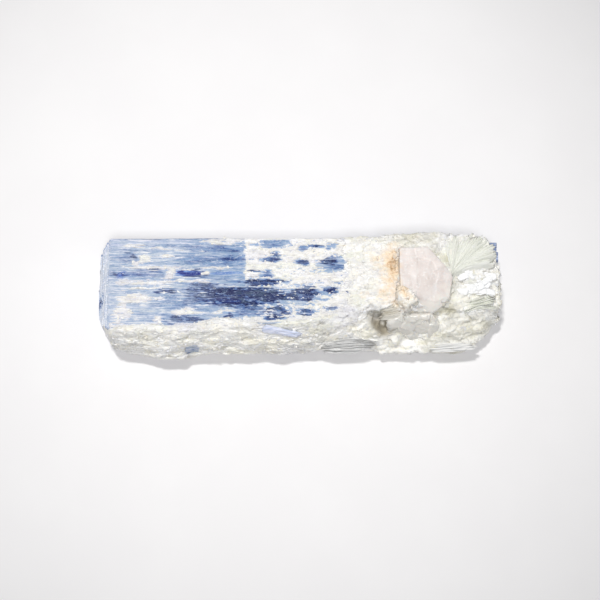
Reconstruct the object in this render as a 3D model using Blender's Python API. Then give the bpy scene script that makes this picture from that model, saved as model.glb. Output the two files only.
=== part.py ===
"""A hand specimen of kyanite: one flat blue blade that lies on its broad face, crusted along its front
edge and over its right end by white mica and quartz, with a pink and a clear crystal and four books of
mica set in the crust.

Units are metres and +Z is up. The origin is on the ground under the middle of the specimen, +X runs
along the blade and +Y points to the blade's clean long edge.
"""

import bmesh
import bpy
import numpy as np
from mathutils import Vector, noise

MM = 0.001
# Sizes below are in millimetres, and add_object turns them into metres. Grains that meet keep this gap.
GAP = 0.3

# The blade: its thickness, and how far its broken right end steps down under the crust.
THICKNESS = 13.0
END_THICKNESS = 10.4
# Outline of the blade from above, in millimetres. The clean edge is at +Y, the crusted one at -Y.
BLADE_PLAN = [
    (-45.4, 12.1),
    (-45.4, 1.0),
    (-45.0, -3.4),
    (-43.4, -6.6),
    (-41.2, -8.4),
    (-14.0, -8.4),
    (-6.0, -7.6),
    (4.5, -7.3),
    (12.0, -4.0),
    (22.0, 1.0),
    (34.0, 6.5),
    (45.4, 7.6),
    (45.4, 12.1),
]
# The blade seen from the front: cleavage sheets end in steps at both ends.
BLADE_FRONT_VIEW = [
    (-45.5, 0.0),
    (-45.5, 2.4),
    (-44.9, 2.6),
    (-44.7, 5.6),
    (-44.1, 5.8),
    (-43.9, 8.8),
    (-43.2, 9.0),
    (-42.9, 11.6),
    (-42.2, 11.8),
    (-41.8, THICKNESS),
    (11.0, THICKNESS),
    (11.2, 12.2),
    (15.0, 12.1),
    (15.2, 11.3),
    (19.0, 11.2),
    (19.2, END_THICKNESS),
    (44.2, END_THICKNESS),
    (44.8, 7.0),
    (45.2, 0.0),
]
# The blade cut across: low terraces on its broad face, and cleavage sheets along its clean edge.
BLADE_SECTION = [
    (-8.4, 0.0),
    (12.0, 0.0),
    (12.1, 2.6),
    (12.4, 2.9),
    (12.4, 6.2),
    (12.0, 6.5),
    (12.1, 9.4),
    (12.4, 9.7),
    (12.3, THICKNESS),
    (5.6, THICKNESS),
    (5.5, THICKNESS - 0.15),
    (0.4, THICKNESS - 0.15),
    (0.3, THICKNESS - 0.3),
    (-8.4, THICKNESS - 0.2),
]

# The crust's shape at stations along X. Each is the (y, z) outline from its front foot, over the top,
# to its back top edge. It always drops straight to the ground at the back.
CRUST = {
    -44.2: [(-6.6, 0), (-6.9, 2.0), (-6.7, 4.4), (-6.5, 5.4), (-6.3, 5.9), (-6.0, 6.0)],
    -42.6: [(-8.6, 0), (-8.9, 3.0), (-8.6, 7.4), (-8.3, 9.8), (-8.0, 10.8), (-6.8, 11.1)],
    -41.0: [(-9.8, 0), (-10.1, 3.0), (-9.8, 8.0), (-9.4, 11.4), (-9.0, 12.3), (-7.4, 12.6)],
    -37.0: [(-10.9, 0), (-11.1, 3.0), (-10.4, 8.0), (-9.8, 11.4), (-9.3, 12.4), (-7.2, 12.7)],
    -30.0: [(-12.4, 0), (-12.6, 2.5), (-10.8, 8.0), (-9.9, 11.4), (-9.3, 12.4), (-7.0, 12.7)],
    -25.0: [(-12.3, 0), (-12.4, 2.5), (-10.7, 8.0), (-9.9, 11.4), (-9.3, 12.4), (-7.0, 12.7)],
    -21.0: [(-11.1, 0), (-11.3, 3.0), (-10.4, 8.0), (-9.8, 11.4), (-9.3, 12.4), (-6.8, 12.7)],
    -12.0: [(-10.9, 0), (-11.1, 3.0), (-10.3, 8.0), (-9.5, 11.4), (-9.0, 12.4), (-6.8, 12.7)],
    -7.0: [(-10.9, 0), (-11.1, 3.0), (-10.1, 7.8), (-8.9, 11.0), (-8.3, 12.2), (-6.0, 12.7)],
    1.0: [(-10.9, 0), (-11.1, 3.0), (-10.1, 7.4), (-8.9, 10.8), (-8.1, 12.2), (-6.0, 12.7)],
    5.0: [(-10.9, 0), (-11.1, 3.0), (-10.1, 8.0), (-8.8, 11.4), (-8.0, 12.6), (-5.0, 12.9)],
    9.0: [(-10.9, 0), (-11.1, 3.0), (-9.9, 8.0), (-8.2, 12.0), (-6.9, 13.4), (-3.4, 14.1)],
    14.0: [(-11.1, 0), (-11.3, 3.0), (-9.6, 7.5), (-7.0, 12.0), (-3.8, 13.9), (12.4, 13.9)],
    20.0: [(-11.2, 0), (-11.4, 2.8), (-9.2, 6.0), (-5.6, 11.6), (-3.0, 14.4), (12.5, 14.4)],
    24.0: [(-11.3, 0), (-11.5, 2.8), (-8.8, 5.0), (-5.0, 11.0), (-2.6, 14.2), (12.6, 14.6)],
    30.0: [(-11.4, 0), (-11.5, 2.8), (-8.8, 5.0), (-5.2, 10.8), (-2.0, 13.8), (12.6, 14.8)],
    36.0: [(-11.1, 0), (-11.3, 2.4), (-8.8, 5.5), (-4.4, 10.4), (1.0, 12.4), (12.6, 14.8)],
    40.0: [(-9.5, 0), (-9.8, 2.8), (-7.8, 6.0), (-3.6, 10.2), (2.0, 12.2), (12.4, 14.4)],
    43.0: [(-7.4, 0), (-7.8, 3.2), (-6.4, 6.0), (-3.0, 9.8), (2.4, 11.6), (10.6, 13.6)],
    44.6: [(-4.4, 0), (-4.8, 3.2), (-4.2, 5.6), (-2.4, 8.8), (2.6, 10.8), (7.6, 12.2)],
}
CRUST_RINGS = 66
CRUST_POINTS = 22
# Lumps of the crust: their height, and the width of one lump.
CRUST_LUMP = 0.55
CRUST_LUMP_WIDTH = 2.6

# Crystals are given by their corners.
PINK_CRYSTAL = [
    (22.4, 8.3, 17.2), (28.7, 8.5, 17.0), (32.1, 4.6, 16.7), (34.0, 2.2, 15.7),
    (33.3, -2.0, 14.3), (31.4, -4.2, 13.2), (29.6, -5.1, 12.5), (26.0, -4.9, 12.5),
    (25.7, -2.5, 16.3), (30.0, -3.4, 14.9), (22.5, -0.8, 16.8), (23.2, -3.2, 14.8),
    (22.2, 8.9, 11.7), (28.9, 9.1, 11.7), (34.4, 2.2, 11.7), (33.7, -2.4, 11.7),
    (29.8, -5.3, 11.7), (22.2, -3.4, 11.7),
]
CLEAR_QUARTZ = [
    (20.4, -7.0, 11.0), (23.0, -6.0, 12.0), (27.4, -7.1, 10.4), (29.8, -5.8, 11.8),
    (31.4, -7.4, 9.4), (31.2, -8.9, 5.6), (27.4, -9.6, 4.6), (23.0, -9.8, 4.4),
    (20.4, -8.6, 6.6), (21.0, -3.4, 10.6), (30.4, -3.4, 10.6), (21.0, -3.2, 4.6),
    (30.4, -3.2, 4.6),
]
SPLINTER = [
    (-7.9, -8.8, 12.9), (-6.6, -8.2, 13.3), (0.9, -9.7, 12.0), (-0.2, -10.4, 11.2),
    (-7.7, -9.4, 11.6), (-6.2, -8.2, 11.8), (1.2, -9.5, 10.5), (0.0, -10.3, 10.1),
]
KYANITE_GRAIN = [
    (-25.1, -12.6, 5.2), (-22.0, -12.2, 5.1), (-21.6, -11.6, 8.9), (-24.6, -11.9, 9.2),
    (-24.8, -10.0, 5.2), (-21.8, -9.8, 5.1), (-21.7, -9.6, 8.5), (-24.5, -9.7, 8.6),
]

# Books of mica: outline of the top sheet, how far the foot of the book is shifted, and its sheets.
GREEN_BOOK = [(34.3, 4.6), (37.6, 6.6), (44.4, 6.9), (45.0, 9.0), (44.2, 12.5), (36.0, 12.7)]
WHITE_BOOK = [(35.2, -0.4), (39.0, -0.7), (44.7, 1.1), (44.8, 5.2), (38.6, 5.3), (35.4, 2.6)]
EDGE_BOOK = [(35.6, -3.2), (43.4, -2.8), (44.7, -1.2), (44.7, 0.2), (38.4, -1.4), (36.0, -1.6)]
FRONT_BOOK = [(5.0, -11.0), (12.0, -11.4), (18.0, -11.4), (15.6, -9.6), (10.6, -9.3), (5.6, -9.9)]

# Every second sheet of a book is a little smaller than its neighbours.
SHEET_INSET = 0.94

# Base colour and roughness of each mineral.
FINISH = {
    "kyanite": ((0.16, 0.26, 0.52, 1.0), 0.35),
    "mica quartz crust": ((0.82, 0.80, 0.77, 1.0), 0.75),
    "pink crystal": ((0.84, 0.74, 0.69, 1.0), 0.3),
    "clear quartz": ((0.74, 0.74, 0.71, 1.0), 0.1),
    "grey mica": ((0.50, 0.50, 0.48, 1.0), 0.4),
    "green mica": ((0.70, 0.73, 0.62, 1.0), 0.35),
    "white mica": ((0.92, 0.92, 0.90, 1.0), 0.35),
}


def clear_scene():
    for obj in list(bpy.data.objects):
        bpy.data.objects.remove(obj)


def material(name):
    """The mineral's material, made on first use."""
    found = bpy.data.materials.get(name)
    if found:
        return found
    colour, roughness = FINISH[name]
    made = bpy.data.materials.new(name)
    made.use_nodes = True
    shader = made.node_tree.nodes["Principled BSDF"]
    shader.inputs["Base Color"].default_value = colour
    shader.inputs["Roughness"].default_value = roughness
    shader.inputs["Metallic"].default_value = 0.0
    return made


def add_object(name, bm, mineral=None):
    """Turns a bmesh in millimetres into an object in metres."""
    bmesh.ops.scale(bm, vec=(MM, MM, MM), verts=bm.verts)
    bmesh.ops.recalc_face_normals(bm, faces=bm.faces)
    mesh = bpy.data.meshes.new(name)
    bm.to_mesh(mesh)
    bm.free()
    obj = bpy.data.objects.new(name, mesh)
    bpy.context.scene.collection.objects.link(obj)
    if mineral:
        mesh.materials.append(material(mineral))
    return obj


def make_guide(obj):
    """Keeps a helper out of the specimen."""
    obj.hide_render = True
    obj.display_type = "WIRE"
    return obj


def add_boolean(obj, other, operation):
    modifier = obj.modifiers.new(other.name, "BOOLEAN")
    modifier.operation = operation
    modifier.solver = "EXACT"
    modifier.object = other


def extruded(outline, low, high, place):
    """A prism over a flat outline. `place` turns (u, v, height) into (x, y, z)."""
    bm = bmesh.new()
    foot = [bm.verts.new(place(u, v, low)) for u, v in outline]
    face = bm.faces.new(foot)
    grown = bmesh.ops.extrude_face_region(bm, geom=[face])
    rise = Vector(place(0, 0, high)) - Vector(place(0, 0, low))
    verts = [item for item in grown["geom"] if isinstance(item, bmesh.types.BMVert)]
    bmesh.ops.translate(bm, vec=rise, verts=verts)
    return bm


def hull(points):
    """The closed convex crystal with these corners, its coplanar triangles merged into facets."""
    bm = bmesh.new()
    for point in points:
        bm.verts.new(point)
    made = bmesh.ops.convex_hull(bm, input=bm.verts)
    inner = [item for item in made["geom_interior"] if isinstance(item, bmesh.types.BMVert)]
    bmesh.ops.delete(bm, geom=inner, context="VERTS")
    bmesh.ops.dissolve_limit(bm, angle_limit=0.01, verts=bm.verts, edges=bm.edges)
    return bm


def pocket(name, bm):
    """A guide that is the same shape as `bm` and larger by the gap on every side."""
    bmesh.ops.recalc_face_normals(bm, faces=bm.faces)
    bm.normal_update()
    moves = [vert.normal * vert.calc_shell_factor() * GAP for vert in bm.verts]
    for vert, move in zip(bm.verts, moves):
        vert.co += move
    return make_guide(add_object(name, bm))


def grain_pocket(obj):
    """The room that a crystal or a book of mica takes up in its neighbours."""
    corners = [vert.co / MM for vert in obj.data.vertices]
    return pocket(obj.name + "_pocket", hull(corners))


def make_blade():
    """The blade is what three stepped outlines share: from above, from the front and across."""
    reach = 60.0
    plan = extruded(BLADE_PLAN, 0.0, THICKNESS + 1.0, lambda u, v, w: (u, v, w))
    blade = add_object("kyanite_blade", plan, "kyanite")
    front = extruded(BLADE_FRONT_VIEW, -reach, reach, lambda u, v, w: (u, w, v))
    across = extruded(BLADE_SECTION, -reach, reach, lambda u, v, w: (w, u, v))
    for name, bm in (("blade_front_view", front), ("blade_section", across)):
        add_boolean(blade, make_guide(add_object(name, bm)), "INTERSECT")
    return blade


def blade_pocket():
    """The room that the crust leaves for the blade and behind it, up to the steps of its right end."""
    clean_edge = BLADE_PLAN[0][1]
    outline = [(u, v + 8.0 if v == clean_edge else v) for u, v in BLADE_PLAN]
    plan = extruded(outline, -2.0, THICKNESS, lambda u, v, w: (u, v, w))
    room = pocket("blade_pocket", plan)
    steps = [(x + GAP, z + GAP) for x, z in BLADE_FRONT_VIEW if 0.0 < x < 20.0]
    ends = [(-60.0, -10.0), (60.0, -10.0), (60.0, END_THICKNESS + GAP)]
    top = ends + steps[::-1] + [(-60.0, THICKNESS + GAP)]
    limit = add_object("blade_pocket_top", extruded(top, -60.0, 60.0, lambda u, v, w: (u, w, v)))
    add_boolean(room, make_guide(limit), "INTERSECT")
    return room


def crust_outline(x):
    """The crust's (y, z) outline at x, with evenly spaced points and a foot under its back edge."""
    stations = sorted(CRUST)
    corners = np.array([CRUST[s] for s in stations])
    points = np.array(
        [[np.interp(x, stations, corners[:, i, k]) for k in (0, 1)] for i in range(corners.shape[1])]
    )
    steps = np.hypot(*np.diff(points, axis=0).T)
    along = np.concatenate([[0.0], np.cumsum(steps)])
    spread = np.linspace(0.0, along[-1], CRUST_POINTS)
    outline = [(np.interp(s, along, points[:, 0]), np.interp(s, along, points[:, 1])) for s in spread]
    return outline + [(outline[-1][0], 0.0)]


def lump(x, y, z):
    """Height of the crust's lumps at a point. They fade out at its thin left tip."""
    place = Vector((x, y * 1.2, z * 1.2)) / CRUST_LUMP_WIDTH
    fine = noise.noise(place * 2.3)
    tip = min(1.0, (x - min(CRUST)) / 3.0)
    return CRUST_LUMP * tip * (noise.noise(place) + 0.5 * fine)


def roughened(bm, rings):
    """Moves the crust's front and top in and out by its lumps, and leaves its foot and back flat."""
    bm.normal_update()
    for ring in rings[1:-1]:
        for vert in ring[1:-2]:
            vert.co += vert.normal * lump(*vert.co)
            vert.co.y = min(vert.co.y, 12.6)


def make_crust():
    bm = bmesh.new()
    stations = sorted(CRUST)
    rings = []
    for x in np.linspace(stations[0], stations[-1], CRUST_RINGS):
        rings.append([bm.verts.new((x, y, z)) for y, z in crust_outline(x)])
    count = len(rings[0])
    for left, right in zip(rings, rings[1:]):
        for i in range(count):
            j = (i + 1) % count
            bm.faces.new((left[i], left[j], right[j], right[i]))
    bm.faces.new(rings[0])
    bm.faces.new(rings[-1][::-1])
    bmesh.ops.recalc_face_normals(bm, faces=bm.faces)
    roughened(bm, rings)
    bmesh.ops.triangulate(bm, faces=bm.faces)
    return add_object("crust", bm, "mica quartz crust")


def make_book(name, outline, foot, head, mineral, lean=(0.0, 0.0), tilt=(0.0, 0.0), sheets=3):
    """A stack of mica sheets between two heights. `lean` shifts the foot, `tilt` is the rise per mm."""
    bm = bmesh.new()
    middle = np.mean(outline, axis=0)
    rings = []
    for level in range(sheets * 2):
        share = ((level + 1) // 2) / sheets
        inset = SHEET_INSET if (level // 2) % 2 else 1.0
        ring = []
        for u, v in outline:
            x = middle[0] + (u - middle[0]) * inset + lean[0] * (1 - share)
            y = middle[1] + (v - middle[1]) * inset + lean[1] * (1 - share)
            rise = tilt[0] * (u - middle[0]) + tilt[1] * (v - middle[1])
            ring.append(bm.verts.new((x, y, foot + (head - foot) * share + rise * share)))
        rings.append(ring)
    for low, high in zip(rings, rings[1:]):
        for i in range(len(outline)):
            j = (i + 1) % len(outline)
            bm.faces.new((low[i], low[j], high[j], high[i]))
    bm.faces.new(rings[0][::-1])
    bm.faces.new(rings[-1])
    return add_object(name, bm, mineral)


def make_front_book():
    """The grey book stands on edge in the front flank, so its sheets are stacked towards +Z."""
    return make_book("grey_mica_book", FRONT_BOOK, 0.7, 6.6, "grey mica", lean=(0.6, -0.3), sheets=6)


def make_crystals():
    return [
        add_object("pink_crystal", hull(PINK_CRYSTAL), "pink crystal"),
        add_object("clear_quartz", hull(CLEAR_QUARTZ), "clear quartz"),
        add_object("kyanite_splinter", hull(SPLINTER), "kyanite"),
        add_object("kyanite_grain", hull(KYANITE_GRAIN), "kyanite"),
    ]


def make_books():
    return [
        make_book(
            "green_mica_book", GREEN_BOOK, 12.4, 14.9, "green mica", tilt=(-0.06, 0.03), sheets=4
        ),
        make_book(
            "white_mica_book", WHITE_BOOK, 9.4, 12.9, "white mica", tilt=(-0.04, 0.12), sheets=4
        ),
        make_book(
            "edge_mica_book", EDGE_BOOK, 7.4, 10.4, "green mica", tilt=(0.0, 0.15), sheets=5
        ),
        make_front_book(),
    ]


def main():
    clear_scene()
    blade = make_blade()
    crust = make_crust()
    add_boolean(crust, blade_pocket(), "DIFFERENCE")
    for grain in make_crystals() + make_books():
        room = grain_pocket(grain)
        add_boolean(crust, room, "DIFFERENCE")
        if grain.name == "kyanite_splinter":
            add_boolean(blade, room, "DIFFERENCE")


main()
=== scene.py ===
import itertools
import math

import bmesh
import bpy
import numpy as np
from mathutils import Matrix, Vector


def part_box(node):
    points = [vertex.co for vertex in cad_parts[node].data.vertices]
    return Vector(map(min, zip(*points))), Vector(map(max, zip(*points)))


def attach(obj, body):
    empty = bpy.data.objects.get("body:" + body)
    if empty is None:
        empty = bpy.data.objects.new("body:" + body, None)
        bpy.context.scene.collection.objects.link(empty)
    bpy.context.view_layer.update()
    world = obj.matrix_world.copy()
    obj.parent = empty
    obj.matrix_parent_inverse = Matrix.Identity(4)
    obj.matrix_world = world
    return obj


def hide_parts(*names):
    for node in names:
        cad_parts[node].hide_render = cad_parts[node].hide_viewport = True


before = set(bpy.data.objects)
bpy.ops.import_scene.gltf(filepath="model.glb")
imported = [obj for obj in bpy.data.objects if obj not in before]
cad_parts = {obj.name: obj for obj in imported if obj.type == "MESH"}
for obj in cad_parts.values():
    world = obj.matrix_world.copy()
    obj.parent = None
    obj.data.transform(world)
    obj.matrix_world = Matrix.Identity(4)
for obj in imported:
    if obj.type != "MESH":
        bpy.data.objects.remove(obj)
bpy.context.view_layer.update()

# A kyanite blade in a crust of white mica and quartz. Sizes are in millimetres, and add_mesh turns
# them into metres. +X runs along the blade, +Y points to its clean long edge and +Z is up.
MM = 0.001

# ---------------------------------------------------------------- noise
def scrambled(bits):
    """Mixes the bits of whole numbers."""
    bits = (bits ^ (bits >> np.uint32(15))) * np.uint32(0x2C1B3C6D)
    bits = (bits ^ (bits >> np.uint32(12))) * np.uint32(0x297A2D39)
    return bits ^ (bits >> np.uint32(15))


def hashed(cells, seed):
    """A number from 0 to 1 for each whole-number cell, the same on each run."""
    cells = (cells.astype(np.int64) & 0xFFFFFFFF).astype(np.uint32)
    bits = scrambled(cells[..., 0] + np.uint32(seed * 7919 + 11))
    bits = scrambled(bits ^ cells[..., 1])
    bits = scrambled(bits ^ cells[..., 2])
    return bits.astype(np.float64) / 4294967296.0


def lumps(points, seed):
    """Smooth noise from -1 to 1 with one lump per unit."""
    base = np.floor(points)
    eased = points - base
    eased = eased**3 * (eased * (eased * 6.0 - 15.0) + 10.0)
    total = np.zeros(points.shape[:-1])
    for corner in itertools.product((0, 1), repeat=3):
        weight = np.ones(points.shape[:-1])
        for axis, side in enumerate(corner):
            weight *= eased[..., axis] if side else 1.0 - eased[..., axis]
        total += weight * hashed(base + np.array(corner), seed)
    return total * 2.0 - 1.0


def fractal(points, size, octaves, seed):
    """Noise whose largest lumps are `size` wide (one number, or one for each axis)."""
    total = np.zeros(points.shape[:-1])
    scaled = points / np.array(size, float)
    strength = 1.0
    for octave in range(octaves):
        total += strength * lumps(scaled * 2.0**octave + 17.3 * octave, seed + octave)
        strength *= 0.5
    return total


def shattered(points, size, seed, slope=0.5, jumps=0.5):
    """Relief of broken grains: each cell is a flat facet with its own tilt and height, from -1 to 1."""
    scaled = points / np.array(size, float)
    base = np.floor(scaled)
    nearest = np.full(points.shape[:-1], 1e9)
    centre = np.zeros_like(scaled)
    owner = np.zeros_like(scaled)
    for offset in itertools.product((-1, 0, 1), repeat=3):
        cell = base + np.array(offset)
        place = cell + np.stack([hashed(cell, seed + k) for k in range(3)], axis=-1)
        distance = ((place - scaled) ** 2).sum(-1)
        closer = distance < nearest
        nearest = np.where(closer, distance, nearest)
        centre = np.where(closer[..., None], place, centre)
        owner = np.where(closer[..., None], cell, owner)
    tilt = np.stack([hashed(owner, seed + 10 + k) for k in range(3)], axis=-1) * 2.0 - 1.0
    height = hashed(owner, seed + 20) * 2.0 - 1.0
    return jumps * height + slope * ((scaled - centre) * tilt).sum(-1) * 2.0


def smooth(value, low, high):
    """0 below low, 1 above high, and a smooth rise between."""
    t = np.clip((value - low) / (high - low), 0.0, 1.0)
    return t * t * (3.0 - 2.0 * t)


def at(x, y, z=0.0):
    """Points from their coordinates, each a number or an array."""
    return np.stack(np.broadcast_arrays(x, y, z), axis=-1).astype(float)


def flat(x, y, size, octaves, seed):
    """Noise over the broad face. Its lumps are size[0] long along X and size[1] wide."""
    return fractal(at(x, y), (*size, 1.0), octaves, seed)


# ---------------------------------------------------------------- meshes
def add_mesh(name, points, quads, fields=None, smooth_shade=True):
    """An object from points in millimetres and four-cornered faces, with a number for each point in
    each field. A quad may repeat its last point."""
    mesh = bpy.data.meshes.new(name)
    points = np.asarray(points, np.float64).reshape(-1, 3) * MM
    points[:, 2] = np.maximum(points[:, 2], 0.0)
    quads = np.asarray(quads, np.int32).reshape(-1, 4)
    corners = np.where(quads[:, 3] == quads[:, 2], 3, 4)
    keep = np.ones(quads.shape, bool)
    keep[:, 3] = corners == 4
    loops = quads[keep]
    starts = np.concatenate([[0], np.cumsum(corners)[:-1]])
    mesh.vertices.add(len(points))
    mesh.loops.add(len(loops))
    mesh.polygons.add(len(quads))
    mesh.vertices.foreach_set("co", points.astype(np.float32).ravel())
    mesh.loops.foreach_set("vertex_index", loops)
    mesh.polygons.foreach_set("loop_start", starts.astype(np.int32))
    mesh.polygons.foreach_set("loop_total", corners.astype(np.int32))
    mesh.update(calc_edges=True)
    mesh.validate()
    for key, values in (fields or {}).items():
        layer = mesh.attributes.new(key, "FLOAT", "POINT")
        layer.data.foreach_set("value", np.asarray(values, np.float32).ravel())
    mesh.polygons.foreach_set("use_smooth", [smooth_shade] * len(mesh.polygons))
    obj = bpy.data.objects.new(name, mesh)
    bpy.context.scene.collection.objects.link(obj)
    return obj


def loft(name, rings, fields):
    """A closed mesh over rings of points (rings, count, 3) that run along +X, each anticlockwise
    seen from +X. A fan of faces round one more point closes each end."""
    count = rings.shape[1]
    first = np.arange(len(rings) - 1)[:, None] * count
    i, j = np.arange(count), (np.arange(count) + 1) % count
    sides = np.stack([first + i, first + j, first + count + j, first + count + i], -1).reshape(-1, 4)
    last = (len(rings) - 1) * count
    hub = np.full(count, rings.shape[0] * count)
    fans = [np.stack([j, i, hub, hub], -1), np.stack([last + i, last + j, hub + 1, hub + 1], -1)]
    points = np.concatenate([rings.reshape(-1, 3), [rings[0].mean(0), rings[-1].mean(0)]])
    full = {}
    for key, values in fields.items():
        full[key] = np.append(values.ravel(), [values[0].mean(), values[-1].mean()])
    return add_mesh(name, points, np.concatenate([sides, *fans]), full)


def grid_normals(grid):
    """Outward unit normals of a grid of points (rows along X, columns round the section)."""
    along = np.gradient(grid, axis=0)
    across = np.gradient(grid, axis=1)
    normal = np.cross(across, along)
    length = np.linalg.norm(normal, axis=-1, keepdims=True)
    return -normal / np.maximum(length, 1e-9)


def spaced(*runs):
    """Numbers with a step for each run: (first, last, step)."""
    parts = [np.arange(first, last, step) for first, last, step in runs]
    return np.concatenate(parts + [[runs[-1][1]]])


def finished(obj, material, node=None):
    """Gives a piece its material and slot, and puts it on the body."""
    obj.data.materials.clear()
    obj.data.materials.append(material)
    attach(obj, "root")
    if node:
        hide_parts(node)
    return obj


# ---------------------------------------------------------------- sizes
blade_low, blade_high = (np.array(corner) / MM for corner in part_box("kyanite_blade"))
THICKNESS = float(blade_high[2])
LEFT_END = float(blade_low[0])
RIGHT_END = float(blade_high[0])
BACK_EDGE = float(blade_high[1]) - 0.15
# The crusted front edge of the blade, as (x, y) from left to right.
FRONT_EDGE = [
    (LEFT_END, 1.0), (-45.0, -3.4), (-43.6, -6.8), (-41.6, -8.9), (-22.0, -9.1), (-17.0, -8.0),
    (-6.0, -7.8), (4.5, -7.3), (12.0, -4.0), (22.0, 1.0), (34.0, 6.5), (RIGHT_END, 7.6),
]
# The left end is a stair of thin cleavage sheets between these two places.
STAIR_START = -45.7
STAIR_END = -41.7
STAIR_SHEETS = 16
# The broken sheets that step down under the crust at the right, as (x, drop).
RIGHT_STEPS = [(11.2, 0.9), (15.2, 0.8), (19.2, 1.0)]
# Low terraces of the broad face, as (y, rise met when going towards -Y).
TERRACES = [
    (10.3, -0.16), (5.4, 0.17), (2.7, -0.2), (0.7, 0.15), (-3.3, -0.18), (-5.9, 0.08), (-7.9, -0.12),
]
# Open cracks along the blade, as (first x, last x, y, depth).
CRACKS = [
    (-43, -22, 12, 0.22), (-39.5, -30, 10.2, 0.2), (-13.5, -3, 11.95, 0.22), (-11, -8, 4.45, 0.3),
    (-12, -2, 2, 0.3), (-37, -29.5, 4.75, 0.24), (-32.5, -21, -0.5, 0.2), (-18.5, -4, 0.45, 0.24),
    (-24, -8, -2.9, 0.16), (-39, -36, 8.6, 0.22), (-27, -18.5, 3, 0.2), (-26, -20, -8.8, 0.22),
    (-36.5, -34, -3.6, 0.22),
]


# ---------------------------------------------------------------- the blade's relief
def front_edge(x):
    """Y of the blade's crusted edge."""
    return np.interp(x, *zip(*FRONT_EDGE))


def stair(x, y):
    """The sheets at the left end, from 0 at the foot to the full thickness."""
    z = np.zeros(np.broadcast(x, y).shape)
    shares = 0.35 + hashed(at(np.arange(STAIR_SHEETS), 0.0), 31)
    rises = THICKNESS * shares / shares.sum()
    for k, rise in enumerate(rises):
        place = STAIR_START + (STAIR_END - STAIR_START) * (k / (STAIR_SHEETS - 1.0)) ** 1.15
        ragged = 0.16 * lumps(at(k * 7.7, y / 3.4), 40 + k) + 0.06 * lumps(at(k, y / 0.7), 60 + k)
        z = z + rise * smooth(x - place - ragged, -0.05, 0.05)
    return z


def thin_line(x, y, first, last, place, width, wander, fade):
    """1 along a line at y = place from first to last, which fades out at both ends."""
    across = np.exp(-(((y - place - wander) / width) ** 2))
    return across * (smooth(x, first, first + fade) * smooth(-x, -last, fade - last))


def cracks(x, y, width):
    """For each open crack, its depth, and 1 along it."""
    for first, last, place, depth in CRACKS:
        wander = 0.12 * lumps(at(x / 4.0, place), 120)
        yield depth, thin_line(x, y, first, last, place, width, wander, 2.0)


def blade_top(x, y):
    """Height of the blade's broad face, with its terraces, cracks, ridges and stepped ends."""
    z = stair(x, y)
    for k, (place, drop) in enumerate(RIGHT_STEPS):
        ragged = 0.9 * lumps(at(k, y / 1.8), 70) + 0.4 * lumps(at(k, y / 0.6), 72)
        z = z - drop * smooth(x - place - ragged, -0.1, 0.1)
    face = smooth(x, -42.5, -41.0)
    for k, (place, rise) in enumerate(TERRACES):
        wander = 0.35 * lumps(at(x / 9.0, k * 5.1), 80 + k) + 0.10 * lumps(at(x / 1.7, k), 90 + k)
        z = z + rise * face * smooth(place + wander - y, -0.06, 0.06)
    ridges = 0.055 * flat(x, y, (16.0, 1.1), 3, 101)
    fibres = 0.024 * flat(x, y, (6.0, 0.26), 2, 111)
    z = z + ridges + fibres
    for depth, line in cracks(x, y, 0.11):
        z = z - depth * line
    blocks = shattered(at(x, y), (9.0, 1.6, 1.0), 130, slope=0.15, jumps=0.7)
    chips = shattered(at(x, y), (2.2, 0.55, 1.0), 134, slope=0.4, jumps=0.7)
    return z + (0.045 * blocks + 0.03 * chips) * face


def crack_lines(x, y):
    """1 in the open cracks."""
    total = np.zeros(np.broadcast(x, y).shape)
    for depth, line in cracks(x, y, 0.16):
        total = np.maximum(total, 4.0 * depth * line)
    return np.clip(total, 0.0, 1.0)


def blade_back(x, z):
    """Y of the blade's clean long edge, with the ends of its cleavage sheets."""
    y = np.full(np.broadcast(x, z).shape, BACK_EDGE)
    blocks = shattered(at(x, 0.0, z), (13.0, 1.0, 1.9), 140, slope=0.1, jumps=1.0)
    y += 0.20 * blocks
    y += 0.10 * fractal(at(x, 0.0, z), (18.0, 1.0, 0.7), 3, 150)
    y += 0.03 * fractal(at(x, 0.0, z), (5.0, 1.0, 0.2), 2, 160)
    return y


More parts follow.
